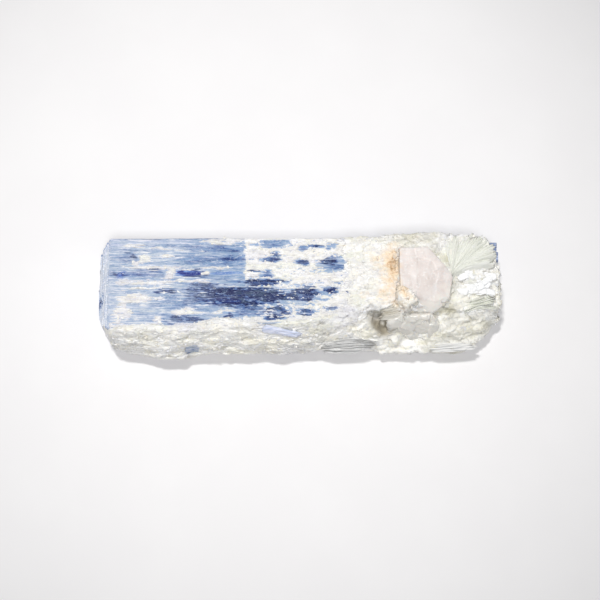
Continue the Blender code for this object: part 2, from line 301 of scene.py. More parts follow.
# ---------------------------------------------------------------- zones of the broad face
# Each zone is (x, y, half length, half width, strength).
# Where the kyanite is a deeper blue (positive) or paler (negative).
BLUE_ZONES = [
    (-23.6, 3.8, 3.8, 0.85, 0.62), (-25.4, 3.8, 1.5, 0.45, 0.32), (-16.5, 3.8, 3, 0.35, 0.12),
    (-39.3, 3.5, 1.2, 0.7, 0.26), (-11, -0.8, 8, 1.1, 0.26), (-15.2, -0.7, 3.6, 0.8, 0.22),
    (-6, -1.4, 4.2, 1, 0.26), (-21.6, -1.6, 1.6, 0.6, 0.2), (-33, 11, 9, 0.9, -0.1),
    (-30, 12, 16, 0.25, 0.25), (-37.8, 8, 2.4, 1.8, 0.1), (-38.1, 8.6, 0.9, 0.2, 0.35),
    (-36.3, 7.6, 0.4, 1, 0.4), (-32.6, 9.2, 1.6, 0.8, 0.12), (-19.6, 7.9, 8.6, 2.7, 0.12),
    (-14.2, 6.6, 3, 1.4, 0.12), (-35.1, 3.8, 6, 0.8, 0.22), (-33.3, 4.8, 4, 0.18, 0.4),
    (-37.5, 0, 3.6, 0.5, 0.08), (-29.1, -0.2, 2.6, 0.8, 0.4), (-21, -0.2, 4.4, 2.1, 0.38),
    (-18.6, 0.4, 3.6, 1, 0.2), (-12, -1.5, 10.8, 2.5, 0.52), (-5, -1.8, 3.4, 1.2, 0.24),
    (-9.6, -0.4, 3, 0.6, 0.26), (-8.7, -1.4, 1.4, 1, 0.36), (-3, -1.5, 2, 0.9, 0.4),
    (-15.5, -0.3, 5, 0.8, 0.2), (-21.5, -2.4, 4, 0.7, 0.24), (-10.4, -4.6, 4, 1.6, 0.24),
    (-33.9, -5.9, 4.2, 3.1, -0.04), (-25.4, -7.2, 4.6, 1.3, 0.36), (-24, -4, 3.4, 0.9, 0.14),
    (-15.2, -6.2, 0.9, 1.1, 0.5), (-5.3, 11, 3.6, 0.9, 0.12), (1, 9.6, 1.6, 0.6, 0.14),
    (4.4, 10.1, 2, 0.4, 0.25), (7.3, 10, 1.3, 0.7, 0.05), (-5.3, 8.3, 1.3, 0.6, 0.42),
    (-5.8, 7, 2, 0.7, 0.36), (1.1, 6.5, 1.4, 1, 0.4), (7, 6.7, 2.6, 0.9, 0.46),
    (8.4, 5.4, 2.2, 0.9, 0.26), (-9.5, 4.4, 1.7, 0.35, 0.5), (-7.1, 3.6, 1.7, 0.8, 0.24),
    (-7, 1.8, 5.3, 0.8, 0.38), (1.7, -1.1, 3.4, 2.2, 0.54), (3.1, -0.8, 0.9, 0.7, 0.52),
    (7.6, -0.2, 1.2, 1.4, 0.56), (11, -0.1, 1, 0.5, 0.6), (12.8, 0, 0.5, 0.4, 0.55),
    (-4.6, -4.9, 3, 1.3, 0.42), (-5.2, -6.5, 2.5, 0.6, 0.3), (2, -5.3, 2.7, 0.8, 0.36),
    (7.9, -4.4, 1.8, 0.5, 0.4),
]
# Where the blue is vivid.
VIVID_ZONES = [
    (-23.6, 3.8, 4, 0.78, 1.5), (-16.2, 3.8, 4.4, 0.42, 0.7), (-39.3, 3.5, 1.2, 0.75, 0.8),
    (-35.1, 3.5, 5, 0.5, 0.25), (-17, -2.6, 5, 0.9, 0.25),
]
# Where thin white crust lies on the blade (positive), or the blade shows through it (negative).
FILM_ZONES = [
    (-34, 7.3, 1.8, 1.4, 0.95), (-36.4, 6.1, 1.7, 0.5, 0.85), (-39.9, 5.6, 1.5, 0.16, 0.6),
    (-32.4, 5.3, 6.6, 0.42, 0.95), (-28.5, 3.7, 1.3, 2, 0.85), (-24.4, 4.8, 2.7, 0.17, 0.6),
    (-34, 1.6, 6.6, 0.8, 0.8), (-23.5, 2.1, 4.2, 0.34, 0.78), (-20.4, 3.6, 1.3, 0.5, 0.7),
    (-30.2, 9.6, 2, 0.3, 0.75), (-37, 10.4, 2.2, 0.2, 0.65), (-35.9, -2.3, 4.2, 1.35, 0.9),
    (-30.6, -2, 1.6, 0.55, 0.8), (-39, -5.4, 1.8, 2.6, 0.6), (-33, 0.3, 5, 0.16, 0.8),
    (-36.5, 9.9, 2.6, 0.18, 0.7), (-30, -7, 0.8, 1.2, 0.55), (-24.4, -5.2, 3.3, 0.9, 0.85),
    (-28.8, 7.9, 1.7, 0.5, 0.8), (-26, 9.1, 1.4, 0.25, 0.7), (-16.5, 11.3, 4.8, 0.9, 0.9),
    (-18.2, 5, 4.2, 0.32, 0.8), (-20, 1.6, 1.2, 0.3, 0.6), (-9.9, 3.1, 1.6, 0.6, 0.85),
    (-9.8, 0.7, 6.3, 0.13, 0.9), (-15.8, -4.9, 2.6, 0.6, 0.7), (-17.5, -7.4, 3, 0.9, 0.8),
    (-5.8, -4.6, 1, 0.5, 0.9), (-3.2, -4.9, 1.1, 0.7, 0.9), (-5.3, 11, 3.4, 0.8, -1),
    (-1.8, 10.2, 0.9, 0.16, -0.8), (1, 9.6, 1.5, 0.5, -0.9), (4.4, 10.1, 2, 0.32, -0.8),
    (7.3, 10, 1.2, 0.6, -0.9), (-5.3, 8.3, 1.1, 0.5, -0.9), (-5.8, 7, 1.8, 0.6, -1),
    (-9.5, 4.4, 1.5, 0.25, -0.9), (-7.1, 3.7, 1.5, 0.8, -0.9), (-7, 1.8, 5, 0.75, -1),
    (-11, -1.6, 9.6, 2.3, -1.4), (-10.2, -4.8, 2.9, 1.4, -1), (1.1, 6.5, 1.2, 0.9, -1),
    (1.7, -1.1, 3.2, 2.1, -1), (3.1, -0.8, 0.8, 0.5, -1), (-15.2, -6.2, 0.9, 1, -1),
    (-5.2, -6.5, 2.3, 0.4, -0.9), (-4.6, -5, 2.6, 1.1, -0.8), (1.6, -5.2, 2.8, 0.8, -1),
    (-1.6, -2, 1.6, 0.9, -0.9), (5.2, -2.4, 1.5, 0.4, -0.8), (7.9, 6.1, 3, 1.7, -1.1),
    (7.1, -0.4, 1.8, 1.3, -1), (11, -0.1, 0.8, 0.35, -1), (12.8, 0, 0.35, 0.25, -0.8),
    (7.9, -4.4, 1.5, 0.35, -0.9), (5.1, -4.1, 0.4, 0.28, -0.8),
]
# Fine white lines on the bare blade: (first x, last x, y, half width, strength).
WHITE_LINES = [
    (-41.2, -27, 5.65, 0.12, 1.2), (-41, -37.3, 6.8, 0.12, 1), (-38.7, -28, 10.8, 0.14, 0.9),
    (-27, -24.9, 9.3, 0.12, 1), (-26.9, -22, 4.85, 0.13, 1.5), (-20.5, -15.3, 4.75, 0.14, 1),
    (-19.5, -3.4, 0.62, 0.11, 2.2), (-20.3, -17.5, -3, 0.13, 1.2), (-26.6, -24.8, -6.15, 0.12, 1.3),
    (-29, -20, -7.3, 0.13, 1), (-40.5, -36, 1, 0.12, 0.8), (-38, -31, -8, 0.12, 1),
    (-16, -12.5, 2.4, 0.12, 0.9), (-41, -33, 9.7, 0.13, 0.9), (-36, -26.5, 8.7, 0.13, 1),
    (-31, -22.5, 11.5, 0.13, 1), (-23, -16, 8.1, 0.1, 0.5), (-27.5, -21, 2.9, 0.12, 0.9),
    (-37, -24, 0.55, 0.12, 0.7), (-33, -22, -1.1, 0.12, 0.8), (-30, -19, -4, 0.12, 0.8),
    (-41, -35, -4.6, 0.13, 0.9), (-36, -28, -6.3, 0.12, 0.8),
]
# Right of this x the white crust covers the blade except in the windows above.
FILM_EDGE = -11.6


def warped(x, y, seed, amount=1.0):
    """Moves places about a little, more along the blade than across it."""
    shift = flat(x, y, (2.6, 0.8), 3, seed)
    lift = flat(x, y, (2.4, 1.0), 3, seed + 7)
    return x + 0.9 * amount * shift, y + 0.30 * amount * lift


def share_of(zone, wx, wy):
    """1 in the middle of a zone, 0 at its border and below 0 outside."""
    cx, cy, half_length, half_width, _ = zone
    return 1.0 - np.sqrt(((wx - cx) / half_length) ** 2 + ((wy - cy) / half_width) ** 2)


def inside(x, y, cx, cy, half_length, half_width, soft=0.4):
    """1 inside an oval on the broad face and 0 outside, with a soft border."""
    return smooth(share_of((cx, cy, half_length, half_width, 1.0), x, y), 0.0, soft)


def blue_depth(x, y):
    """How deep the blue is, from 0 (pale grey) to 1 (nearly black blue)."""
    wx, wy = warped(x, y, 200)
    streak = flat(x, y, (3.4, 0.30), 3, 206)
    crumb = flat(x, y, (0.8, 0.34), 3, 208)
    depth = np.full(np.broadcast(x, y).shape, 0.35)
    for zone in BLUE_ZONES:
        edge = share_of(zone, wx, wy) + 0.22 * streak + 0.15 * crumb
        depth += zone[4] * smooth(edge, -0.02, 0.32)
    depth += 0.08 * flat(x, y, (14.0, 0.7), 3, 210) + 0.07 * streak
    depth += 0.42 * smooth(depth, 0.5, 0.9) * crumb
    # Deeper blue in the open cracks: painted shade.
    return np.clip(depth + 0.35 * crack_lines(x, y), 0.02, 1.0)


def vividness(x, y):
    """1 where the blue is vivid."""
    wx, wy = warped(x, y, 270, 0.7)
    streak = flat(x, y, (3.4, 0.25), 3, 272)
    total = np.zeros(np.broadcast(x, y).shape)
    for zone in VIVID_ZONES:
        share = share_of(zone, wx, wy) + 0.2 * streak
        total = np.maximum(total, zone[4] * smooth(share, 0.0, 0.3))
    return np.clip(total, 0.0, 1.0)


def film_cover(x, y):
    """Above 0 where thin crust covers the broad face."""
    wx, wy = warped(x, y, 230)
    edge_x, _ = warped(x, y, 220, 0.45)
    streaks = flat(x, y, (3.6, 0.26), 3, 240)
    crumbs = flat(x, y, (0.7, 0.32), 3, 250)
    specks = smooth(flat(x, y, (0.42, 0.27), 2, 254), 0.25, 0.7) * smooth(x, -12.0, -8.0)
    cracked = inside(x, y, 1.5, -5.2, 11.0, 2.6, 0.3)
    cracked = np.maximum(cracked, 0.7 * inside(x, y, 4.0, 6.0, 10.0, 5.5))
    seams = np.exp(-((flat(x, y, (2.4, 0.9), 3, 256) / 0.055) ** 2)) * cracked
    seams *= smooth(flat(x, y, (3.0, 1.6), 2, 258), 0.0, 0.4)
    cover = np.where(edge_x > FILM_EDGE, 0.75, -0.60)
    cover = np.maximum(cover, 1.1 - 0.9 * (y - front_edge(x)))
    for zone in FILM_ZONES:
        strength, share = zone[4], 1.9 * share_of(zone, wx, wy)
        if strength > 0.0:
            cover = np.maximum(cover, strength * np.clip(share, -0.9, 1.0))
        else:
            cover = np.minimum(cover, strength * np.clip(share + 0.2, -0.9, 0.72))
    left = smooth(-x, 10.0, 14.0)
    cover = cover + (0.34 + 0.16 * left) * streaks + (0.60 - 0.28 * left) * crumbs
    return cover + 0.62 * specks - 1.1 * seams


def white_lines(x, y):
    """The strength of the fine white lines."""
    total = np.zeros(np.broadcast(x, y).shape)
    for first, last, place, width, strength in WHITE_LINES:
        wander = 0.08 * lumps(at(x / 2.2, place), 290)
        line = thin_line(x, y, first, last, place, width, wander, 1.2)
        broken = 0.60 + 0.70 * lumps(at(x / 0.9, place), 292)
        total = np.maximum(total, strength * line * broken)
    return total


def haze(x, y):
    """Thin white bloom on bare kyanite, with painted sheen towards the back edge and the left."""
    near = smooth(film_cover(x, y), -0.6, 0.15)
    streaks = smooth(flat(x, y, (9.0, 0.42), 3, 260), -0.1, 0.8)
    # Whiter along the back edge at the left, at the left end and over the left half: painted sheen from the
    # side the lamp shines from, over the real bloom of the streaks.
    back_left = smooth(-x, 20.0, 36.0) * smooth(y, 8.0, 11.0)
    rim = smooth(-x, 40.0, 42.0)
    half = smooth(-x, 14.0, 24.0)
    left = (0.34 * half + 0.36 * smooth(-x, 28.0, 36.0)) * (0.6 + 0.4 * lumps(at(x / 5.0, y / 0.9), 264))
    bloom = 0.50 * streaks + 0.5 * back_left + 0.4 * rim + left
    bloom *= 1.0 - 0.75 * inside(x, y, -18.0, 7.4, 9.0, 3.2)
    bloom *= 1.0 - 0.6 * inside(x, y, -10.0, -1.6, 12.0, 3.2)
    cover = (0.45 + 0.45 * half) * near + bloom
    return np.clip(cover, 0.0, 1.0) + white_lines(x, y)


def lilac_tint(x, y):
    """Where the pale streaks lean to lilac: along the back edge and at the left."""
    bands = smooth(flat(x, y, (10.0, 0.8), 2, 280), -0.1, 0.7)
    tint = 0.5 * bands + 0.6 * smooth(y, 9.6, 11.4) + 0.3 * smooth(-x, 38.0, 42.0)
    return np.clip(tint, 0.0, 1.0)


# ---------------------------------------------------------------- node graphs
class Graph:
    """A short way to write shader nodes."""

    SOCKETS = {
        "color": "Base Color", "roughness": "Roughness", "normal": "Normal", "ior": "IOR",
        "specular": "Specular IOR Level", "transmission": "Transmission Weight",
        "subsurface": "Subsurface Weight", "radius": "Subsurface Radius", "scatter": "Subsurface Scale",
    }

    def __init__(self, name):
        self.material = bpy.data.materials.new(name)
        self.material.use_nodes = True
        self.nodes = self.material.node_tree.nodes
        self.links = self.material.node_tree.links
        own = self.node("TexCoord")["Object"]
        self.place = self.multiplied(own, (1.0 / MM,) * 3)  # in millimetres

    def feed(self, socket, value):
        if isinstance(value, bpy.types.NodeSocket):
            self.links.new(value, socket)
        else:
            socket.default_value = value

    def node(self, kind, inputs=(), **settings):
        """The outputs of a new node. Its inputs are fed in order, or by name or number."""
        made = self.nodes.new("ShaderNode" + kind)
        for key, value in settings.items():
            setattr(made, key, value)
        for key, value in inputs.items() if isinstance(inputs, dict) else enumerate(inputs):
            self.feed(made.inputs[key], value)
        return made.outputs

    def multiplied(self, vector, factors):
        return self.node("VectorMath", (vector, factors), operation="MULTIPLY")[0]

    def math(self, operation, a, b, clamp=False):
        return self.node("Math", (a, b), operation=operation, use_clamp=clamp)[0]

    def plus(self, value, extra, share, clamp=False):
        """value + extra * share"""
        return self.math("ADD", value, self.math("MULTIPLY", extra, share), clamp)

    def scaled(self, size):
        """The place divided by a size in mm: one number, or one for each axis."""
        sizes = size if isinstance(size, tuple) else (size,) * 3
        return self.multiplied(self.place, tuple(1.0 / s for s in sizes))

    def noise(self, size, detail=4.0, rough=0.55, distortion=0.0):
        """Noise from 0 to 1 whose lumps are `size` mm wide."""
        inputs = {"Vector": self.scaled(size), "Scale": 1.0, "Detail": detail, "Roughness": rough}
        return self.node("TexNoise", {**inputs, "Distortion": distortion})["Fac"]

    def patches(self, size, low, high, detail=4.0, rough=0.55):
        """1 where noise is above high, and 0 where it is below low."""
        return self.between(self.noise(size, detail, rough), low, high)

    def cells(self, size):
        """A random colour for each cell, `size` mm wide."""
        return self.node("TexVoronoi", {"Vector": self.scaled(size), "Scale": 1.0})["Color"]

    def channel(self, colour, index):
        return self.node("SeparateColor", (colour,))[index]

    def ramp(self, value, *stops):
        """A colour ramp through (place, red, green, blue) stops."""
        made = self.nodes.new("ShaderNodeValToRGB")
        self.feed(made.inputs[0], value)
        line = made.color_ramp.elements
        while len(line) < len(stops):
            line.new(0.5)
        for element, (place, *colour) in zip(line, stops):
            element.position = place
            element.color = rgb(*colour)
        return made.outputs["Color"]

    def between(self, value, low, high):
        """0 below low, 1 above high, and a smooth rise between."""
        inputs = {"Value": value, "From Min": low, "From Max": high}
        return self.node("MapRange", inputs, interpolation_type="SMOOTHSTEP")["Result"]

    def mix(self, share, a, b):
        """A mix of two colours, which are this node's inputs 6 and 7 and its output 2."""
        return self.node("Mix", {"Factor": share, 6: a, 7: b}, data_type="RGBA")[2]

    def tint(self, tone, mask, share, *colour):
        """Mixes a colour into a tone, by the mask times `share`."""
        return self.mix(self.math("MULTIPLY", mask, share), tone, rgb(*colour))

    def attribute(self, name):
        return self.node("Attribute", attribute_name=name)["Fac"]

    def bump(self, height, strength, distance):
        inputs = {"Height": height, "Strength": strength, "Distance": distance * MM}
        return self.node("Bump", inputs)["Normal"]

    def set(self, **values):
        """Sets or links the shader's sockets, by their short names, and gives the material."""
        shader = self.nodes["Principled BSDF"]
        for key, value in values.items():
            self.feed(shader.inputs[self.SOCKETS[key]], value)
        return self.material


def rgb(*values):
    return (*values, 1.0)


def kyanite_material():
    g = Graph("kyanite")
    depth, bloom, vivid = g.attribute("depth"), g.attribute("haze"), g.attribute("vivid")
    fine_streaks = g.noise((3.0, 0.22, 0.22), 3.0, 0.6)
    blotches = g.noise((1.6, 0.7, 0.7), rough=0.6)
    value = depth
    for noise, share in ((g.noise((14.0, 0.8, 0.8)), 0.34), (fine_streaks, 0.60), (blotches, 0.34)):
        value = g.plus(value, g.math("SUBTRACT", noise, 0.5), share)
    dark_flecks = g.patches((0.8, 0.2, 0.2), 0.55, 0.66, rough=0.7)
    value = g.plus(value, dark_flecks, g.math("MULTIPLY", depth, 0.42))
    blue = g.ramp(value, (0.0, 0.54, 0.57, 0.63), (0.20, 0.37, 0.45, 0.57), (0.38, 0.205, 0.31, 0.5),
                  (0.56, 0.088, 0.165, 0.365), (0.74, 0.018, 0.046, 0.18), (1.0, 0.003, 0.009, 0.07))
    royal = g.ramp(value, (0.2, 0.16, 0.30, 0.60), (0.6, 0.04, 0.12, 0.44), (0.95, 0.006, 0.016, 0.19))
    teal = g.patches((2.2, 1.2, 1.2), 0.50, 0.62, 3.0)
    blue = g.mix(g.math("MULTIPLY", teal, 0.30), blue, g.mix(0.5, blue, rgb(0.16, 0.27, 0.33)))
    blue = g.mix(vivid, blue, royal)
    threads = g.patches((4.5, 0.17, 0.17), 0.52, 0.60, 3.0, 0.6)
    cover = g.math("MULTIPLY", bloom, g.math("ADD", 0.25, threads), True)
    cover = g.math("MULTIPLY", cover, g.math("SUBTRACT", 1.0, g.math("MULTIPLY", vivid, 0.75)))
    white = g.mix(g.attribute("lilac"), rgb(0.77, 0.78, 0.80), rgb(0.68, 0.695, 0.81))
    white = g.mix(g.between(value, 0.45, 0.8), white, rgb(0.46, 0.55, 0.74))
    colour = g.mix(cover, blue, white)
    flecks = g.patches((1.1, 0.16, 0.16), 0.565, 0.65, rough=0.7)
    specks = g.patches((0.5, 0.28, 0.28), 0.60, 0.68, 3.0, 0.6)
    sparks = g.math("MAXIMUM", g.math("MULTIPLY", flecks, 0.7), g.math("MULTIPLY", specks, 0.55))
    pale = g.mix(g.between(value, 0.45, 0.9), rgb(0.72, 0.74, 0.80), rgb(0.36, 0.45, 0.66))
    colour = g.mix(sparks, colour, pale)
    height = g.plus(g.plus(fine_streaks, g.noise((2.0, 0.07, 0.07), 2.0), 0.6), sparks, 0.5)
    rough = g.plus(g.plus(0.28, blotches, 0.25), cover, 0.3, True)
    return g.set(color=colour, roughness=rough, ior=1.72, specular=0.08, normal=g.bump(height, 0.5, 0.10))


def pale_kyanite_material():
    """The lavender kyanite of the splinter."""
    g = Graph("pale_kyanite")
    streaks = g.noise((2.6, 0.30, 0.30), rough=0.6)
    tone = g.ramp(streaks, (0.34, 0.48, 0.56, 0.76), (0.48, 0.64, 0.68, 0.84), (0.66, 0.79, 0.81, 0.92))
    height = g.math("ADD", streaks, g.noise((1.2, 0.12, 0.12), 3.0))
    rough = g.plus(0.25, g.noise(0.8, 3.0), 0.3)
    return g.set(color=tone, roughness=rough, ior=1.72, specular=0.2, subsurface=0.3,
                 radius=(0.85, 0.9, 1.0), scatter=0.0010, normal=g.bump(height, 0.4, 0.08))


def stained(g, tone):
    """Olive, lilac and rusty places of the crust, and its painted shade, from the mesh."""
    tone = g.mix(g.math("MULTIPLY", g.attribute("olive"), 0.8, True), tone, rgb(0.45, 0.43, 0.29))
    tone = g.tint(tone, g.attribute("lilac"), 0.8, 0.60, 0.60, 0.69)
    rust = g.attribute("rust")
    patchy = g.between(g.plus(g.noise((1.6, 1.2, 1.2)), rust, 0.75), 0.58, 1.15)
    tone = g.tint(tone, patchy, 0.85, 0.84, 0.655, 0.455)
    strong = g.between(g.plus(g.noise(0.7), rust, 0.5), 0.90, 1.15)
    tone = g.tint(tone, strong, 0.8, 0.50, 0.30, 0.13)
    # Painted shade: the hollows, crevices and grooves are darkened towards brown.
    return g.mix(g.attribute("shade"), tone, rgb(0.29, 0.25, 0.18))


# Patches of the crust's colour: lump size, where a patch starts and is full, roughness of its noise,
# and the share and the colour of the tint.
CRUST_TINTS = [
    ((3.4, 2.0, 2.0), 0.46, 0.62, 0.55, 0.60, (0.86, 0.825, 0.715)),  # warm
    ((6.0, 3.2, 3.2), 0.50, 0.60, 0.60, 0.62, (0.765, 0.775, 0.68)),  # leafy green
    ((4.5, 2.6, 2.6), 0.55, 0.63, 0.60, 0.70, (0.93, 0.93, 0.935)),  # chalk
    ((2.4, 0.7, 0.6), 0.51, 0.63, 0.55, 0.50, (0.70, 0.705, 0.755)),  # cool
    ((1.6, 0.6, 0.5), 0.57, 0.68, 0.65, 0.50, (0.56, 0.55, 0.51)),  # grey
    ((1.1, 0.5, 0.5), 0.56, 0.66, 0.55, 0.80, (0.94, 0.94, 0.94)),  # snow
]


def crust_material():
    g = Graph("mica_quartz_crust")
    grain = g.cells((1.6, 0.8, 0.7))
    fine = g.cells((0.7, 0.35, 0.35))
    tone = g.ramp(g.channel(grain, 0), (0.0, 0.77, 0.762, 0.745), (0.40, 0.83, 0.823, 0.805),
                  (1.0, 0.885, 0.88, 0.865))
    for size, low, high, rough, share, colour in CRUST_TINTS:
        tone = g.tint(tone, g.patches(size, low, high, rough=rough), share, *colour)
    crumbs = g.between(g.channel(fine, 0), 0.93, 0.98)
    tone = g.tint(tone, crumbs, 0.4, 0.44, 0.43, 0.44)
    cream = g.patches((4.0, 2.5, 2.5), 0.45, 0.62)
    cream = g.mix(cream, rgb(0.96, 0.955, 0.94), rgb(0.93, 0.905, 0.80))
    # Lighter and creamier by a field of the mesh: painted light on the front flank, and the knoll's own cream
    # colour.
    tone = stained(g, g.mix(g.attribute("cream_and_painted_light"), tone, cream))
    height = g.plus(g.noise((0.7, 0.3, 0.3)), g.channel(fine, 2), 0.35)
    rough = g.plus(0.34, g.channel(grain, 2), 0.45)
    return g.set(color=tone, roughness=rough, subsurface=0.35, radius=(1.0, 0.93, 0.85), scatter=0.0010,
                 normal=g.bump(height, 0.6, 0.12))


def flake_material():
    g = Graph("mica_flakes")
    tone = g.ramp(g.attribute("tone"), (0.0, 0.68, 0.69, 0.73), (0.2, 0.79, 0.79, 0.79),
                  (0.6, 0.85, 0.845, 0.825), (0.85, 0.86, 0.82, 0.71), (1.0, 0.91, 0.91, 0.90))
    tone = stained(g, g.tint(tone, g.patches(0.6, 0.5, 0.7, 3.0), 0.2, 0.72, 0.72, 0.70))
    rough = g.plus(0.36, g.noise(0.5, 3.0), 0.3)
    return g.set(color=tone, roughness=rough, ior=1.58, specular=0.4, subsurface=0.2, scatter=0.0008,
                 radius=(1.0, 0.93, 0.85), normal=g.bump(g.noise((0.5, 0.2, 0.2), 3.0), 0.3, 0.05))


def mica_material(name, pale, deep, dark_edges, shine=0.35):
    """Stacked sheets: pearly faces, with thin lines where the sheets end."""
    g = Graph(name)
    middle = [0.5 * (a + b) for a, b in zip(pale, deep)]
    tone = g.mix(g.attribute("leaf"), rgb(*pale), rgb(*deep))
    tone = g.tint(tone, g.patches((1.4, 0.7, 0.7), 0.42, 0.68), 0.5, *middle)
    tone = g.tint(tone, g.patches((2.5, 0.5, 0.5), 0.56, 0.70, 3.0), 0.6, 0.90, 0.90, 0.89)
    edge = g.math("ADD", 0.2, g.noise((1.2, 0.6, 0.6), 3.0))
    edge = g.math("MULTIPLY", g.attribute("rim"), edge, True)
    tone = g.tint(tone, edge, dark_edges, *[0.32 * c for c in deep])
    height = g.plus(g.noise((0.9, 0.35, 0.35)), g.noise(0.2, 2.0), 0.4)
    rough = g.plus(0.28, g.noise(0.8, 3.0), 0.4)
    return g.set(color=tone, roughness=rough, ior=1.58, specular=shine, subsurface=0.15,
                 radius=(1.0, 0.9, 0.8), scatter=0.0008, normal=g.bump(height, 0.4, 0.08))


def pink_material():
    """Cloudy pink quartz, rusty on its left side and pale at its foot."""
    g = Graph("pink_crystal")
    clouds = g.noise((3.2, 3.2, 2.0), 4.0, 0.6, 0.4)
    tone = g.ramp(clouds, (0.30, 0.65, 0.59, 0.56), (0.50, 0.715, 0.655, 0.63), (0.70, 0.77, 0.72, 0.695))
    tone = g.tint(tone, g.patches((1.1, 4.0, 2.0), 0.48, 0.66), 0.4, 0.84, 0.81, 0.80)
    tone = g.tint(tone, g.patches((0.8, 0.5, 0.8), 0.58, 0.68), 0.5, 0.90, 0.88, 0.865)
    tone = g.mix(g.attribute("rust"), tone, rgb(0.80, 0.58, 0.36))
    tone = g.mix(g.attribute("foot"), tone, rgb(0.90, 0.86, 0.80))
    height = g.plus(g.noise(1.2, 5.0), g.noise((0.5, 0.14, 0.3), 2.0), 0.3)
    rough = g.plus(0.26, g.noise(1.6), 0.35)
    return g.set(color=tone, roughness=rough, ior=1.544, subsurface=0.5, radius=(1.0, 0.82, 0.74),
                 scatter=0.0028, normal=g.bump(height, 0.35, 0.12))


def clear_material():
    """Clear quartz, which absorbs a little light."""
    g = Graph("clear_quartz")
    rough = g.plus(0.04, g.patches((2.0, 2.0, 3.0), 0.46, 0.70), 0.30)
    height = g.plus(g.noise(1.3), g.noise((0.8, 0.8, 0.12), 2.0), 0.25)
    g.set(color=rgb(0.975, 0.94, 0.875), roughness=rough, ior=1.544, transmission=0.30,
          subsurface=0.4, radius=(1.0, 0.9, 0.8), scatter=0.002, normal=g.bump(height, 0.25, 0.10))
    fog = g.node("VolumeAbsorption", {"Color": rgb(0.86, 0.80, 0.70), "Density": 2.5})
    g.feed(g.nodes["Material Output"].inputs["Volume"], fog[0])
    return g.material


# ---------------------------------------------------------------- kyanite blade
def blade_rings():
    """The blade's sections: up the front edge, over the broad face, down the back and under."""
    xs = spaced((LEFT_END, -41.2, 0.07), (-41.2, 14.0, 0.36), (14.0, 42.4, 0.7), (42.4, RIGHT_END, 0.2))
    front, top, back, bottom = 24, 186, 76, 16  # points along each side of a section
    rings = []
    for x in xs:
        edge = float(front_edge(x))
        y = np.linspace(edge, BACK_EDGE, top)
        z = blade_top(x, y)
        up = np.linspace(0.0, z[0], front, endpoint=False)
        down = np.linspace(1.0, 0.0, back + 1)[1:]
        cut = blade_back(x, down * z[-1]) - BACK_EDGE
        back_y = BACK_EDGE + cut * smooth(1.0 - down, 0.0, 0.04)
        under = np.linspace(back_y[-1], edge, bottom + 2)[1:-1]
        parts = [at(x, edge, up), at(x, y, z), at(x, back_y, down * z[-1]), at(x, under, 0.0)]
        rings.append(np.concatenate(parts))
    rings = np.stack(rings)
    rings[:, :front, 1] += 0.12 * fractal(rings[:, :front], (14.0, 1.0, 0.7), 3, 170)
    section = at(0.0, rings[..., 1], rings[..., 2])
    splinters = shattered(section, (1.0, 2.6, 0.9), 176, slope=0.3, jumps=0.8)
    rings[..., 0] -= smooth(rings[..., 0], 42.6, RIGHT_END) * (0.25 + 0.30 * splinters)
    return rings


def capped(rings, steps, seed, depth):
    """Adds rings that close both ends of a loft with a rough face."""
    made = []
    for end, ring in ((-1.0, rings[0]), (1.0, rings[-1])):
        middle = ring.mean(0)
        caps = []
        for k in range(1, steps + 1):
            cap = middle + (ring - middle) * (1.0 - k / (steps + 1.0))
            relief = shattered(cap, (1.0, 1.6, 0.9), seed, slope=0.5, jumps=0.8)
            cap[:, 0] += depth * relief * min(1.0, k / 2.0) - end * 0.1
            caps.append(cap)
        made.append(caps)
    return np.concatenate([np.stack(made[0][::-1]), rings, np.stack(made[1])])


def make_blade():
    rings = capped(blade_rings(), steps=8, seed=180, depth=0.25)[:, ::-1]
    x, y, z = rings[..., 0], rings[..., 1], rings[..., 2]
    top = smooth(z, THICKNESS - 1.4, THICKNESS - 0.7)
    side = 0.40 + 0.24 * fractal(rings, (12.0, 1.0, 1.6), 3, 190)
    depth = blue_depth(x, y) * top + np.clip(side, 0.1, 0.9) * (1.0 - top)
    # The left end is pale, with one blue spot, and a deeper blue, less white line along its upper rim that
    # paints the shade of the step there.
    end = smooth(-x, 41.5, 42.2) * (1.0 - smooth(y, BACK_EDGE - 0.5, BACK_EDGE - 0.2))
    pale = 0.16 + 0.16 * fractal(rings, (0.22, 6.0, 0.5), 2, 195)
    depth = depth * (1.0 - end) + end * pale
    spot = np.exp(-(((y + 0.4) / 1.5) ** 2)) * smooth(-x, 42.9, 43.6) * smooth(x, -45.6, -45.0)
    spot *= smooth(fractal(rings, (0.5, 1.5, 1.0), 3, 198), -0.35, 0.2)
    rim = -42.05 - 0.1 * lumps(at(y / 3.0, 0.0), 199)
    rim = np.exp(-(((x - rim) / 0.13) ** 2)) * top
    depth = np.clip(depth + 0.75 * spot + 0.45 * rim, 0.0, 1.0)
    bloom = haze(x, y) * top + (1.0 - top) * smooth(fractal(rings, (7.0, 2.0, 1.1), 3, 196), -0.2, 0.9)
    bloom = np.clip(bloom + end * (1.0 - spot), 0.0, 2.4) * (1.0 - 0.8 * rim)
    # The broken right end is mottled, and bluer at its top.
    tail = smooth(x, 42.6, 43.8)
    flaw = fractal(rings, (0.9, 1.1, 0.35), 3, 202)
    upper = tail * smooth(z, 8.0, 10.5)
    depth = depth * (1.0 - tail) + tail * (0.42 + 0.30 * flaw) + 0.30 * upper
    bloom = bloom * (1.0 - tail) + tail * np.clip(0.90 + 0.9 * flaw - 0.20 * upper, 0.0, 1.0)
    fields = {
        "depth": np.clip(depth, 0.0, 1.0),
        "haze": bloom,
        "lilac": lilac_tint(x, y),
        "vivid": vividness(x, y) * top,
    }
    return finished(loft("kyanite_blade_skin", rings, fields), KYANITE, "kyanite_blade")


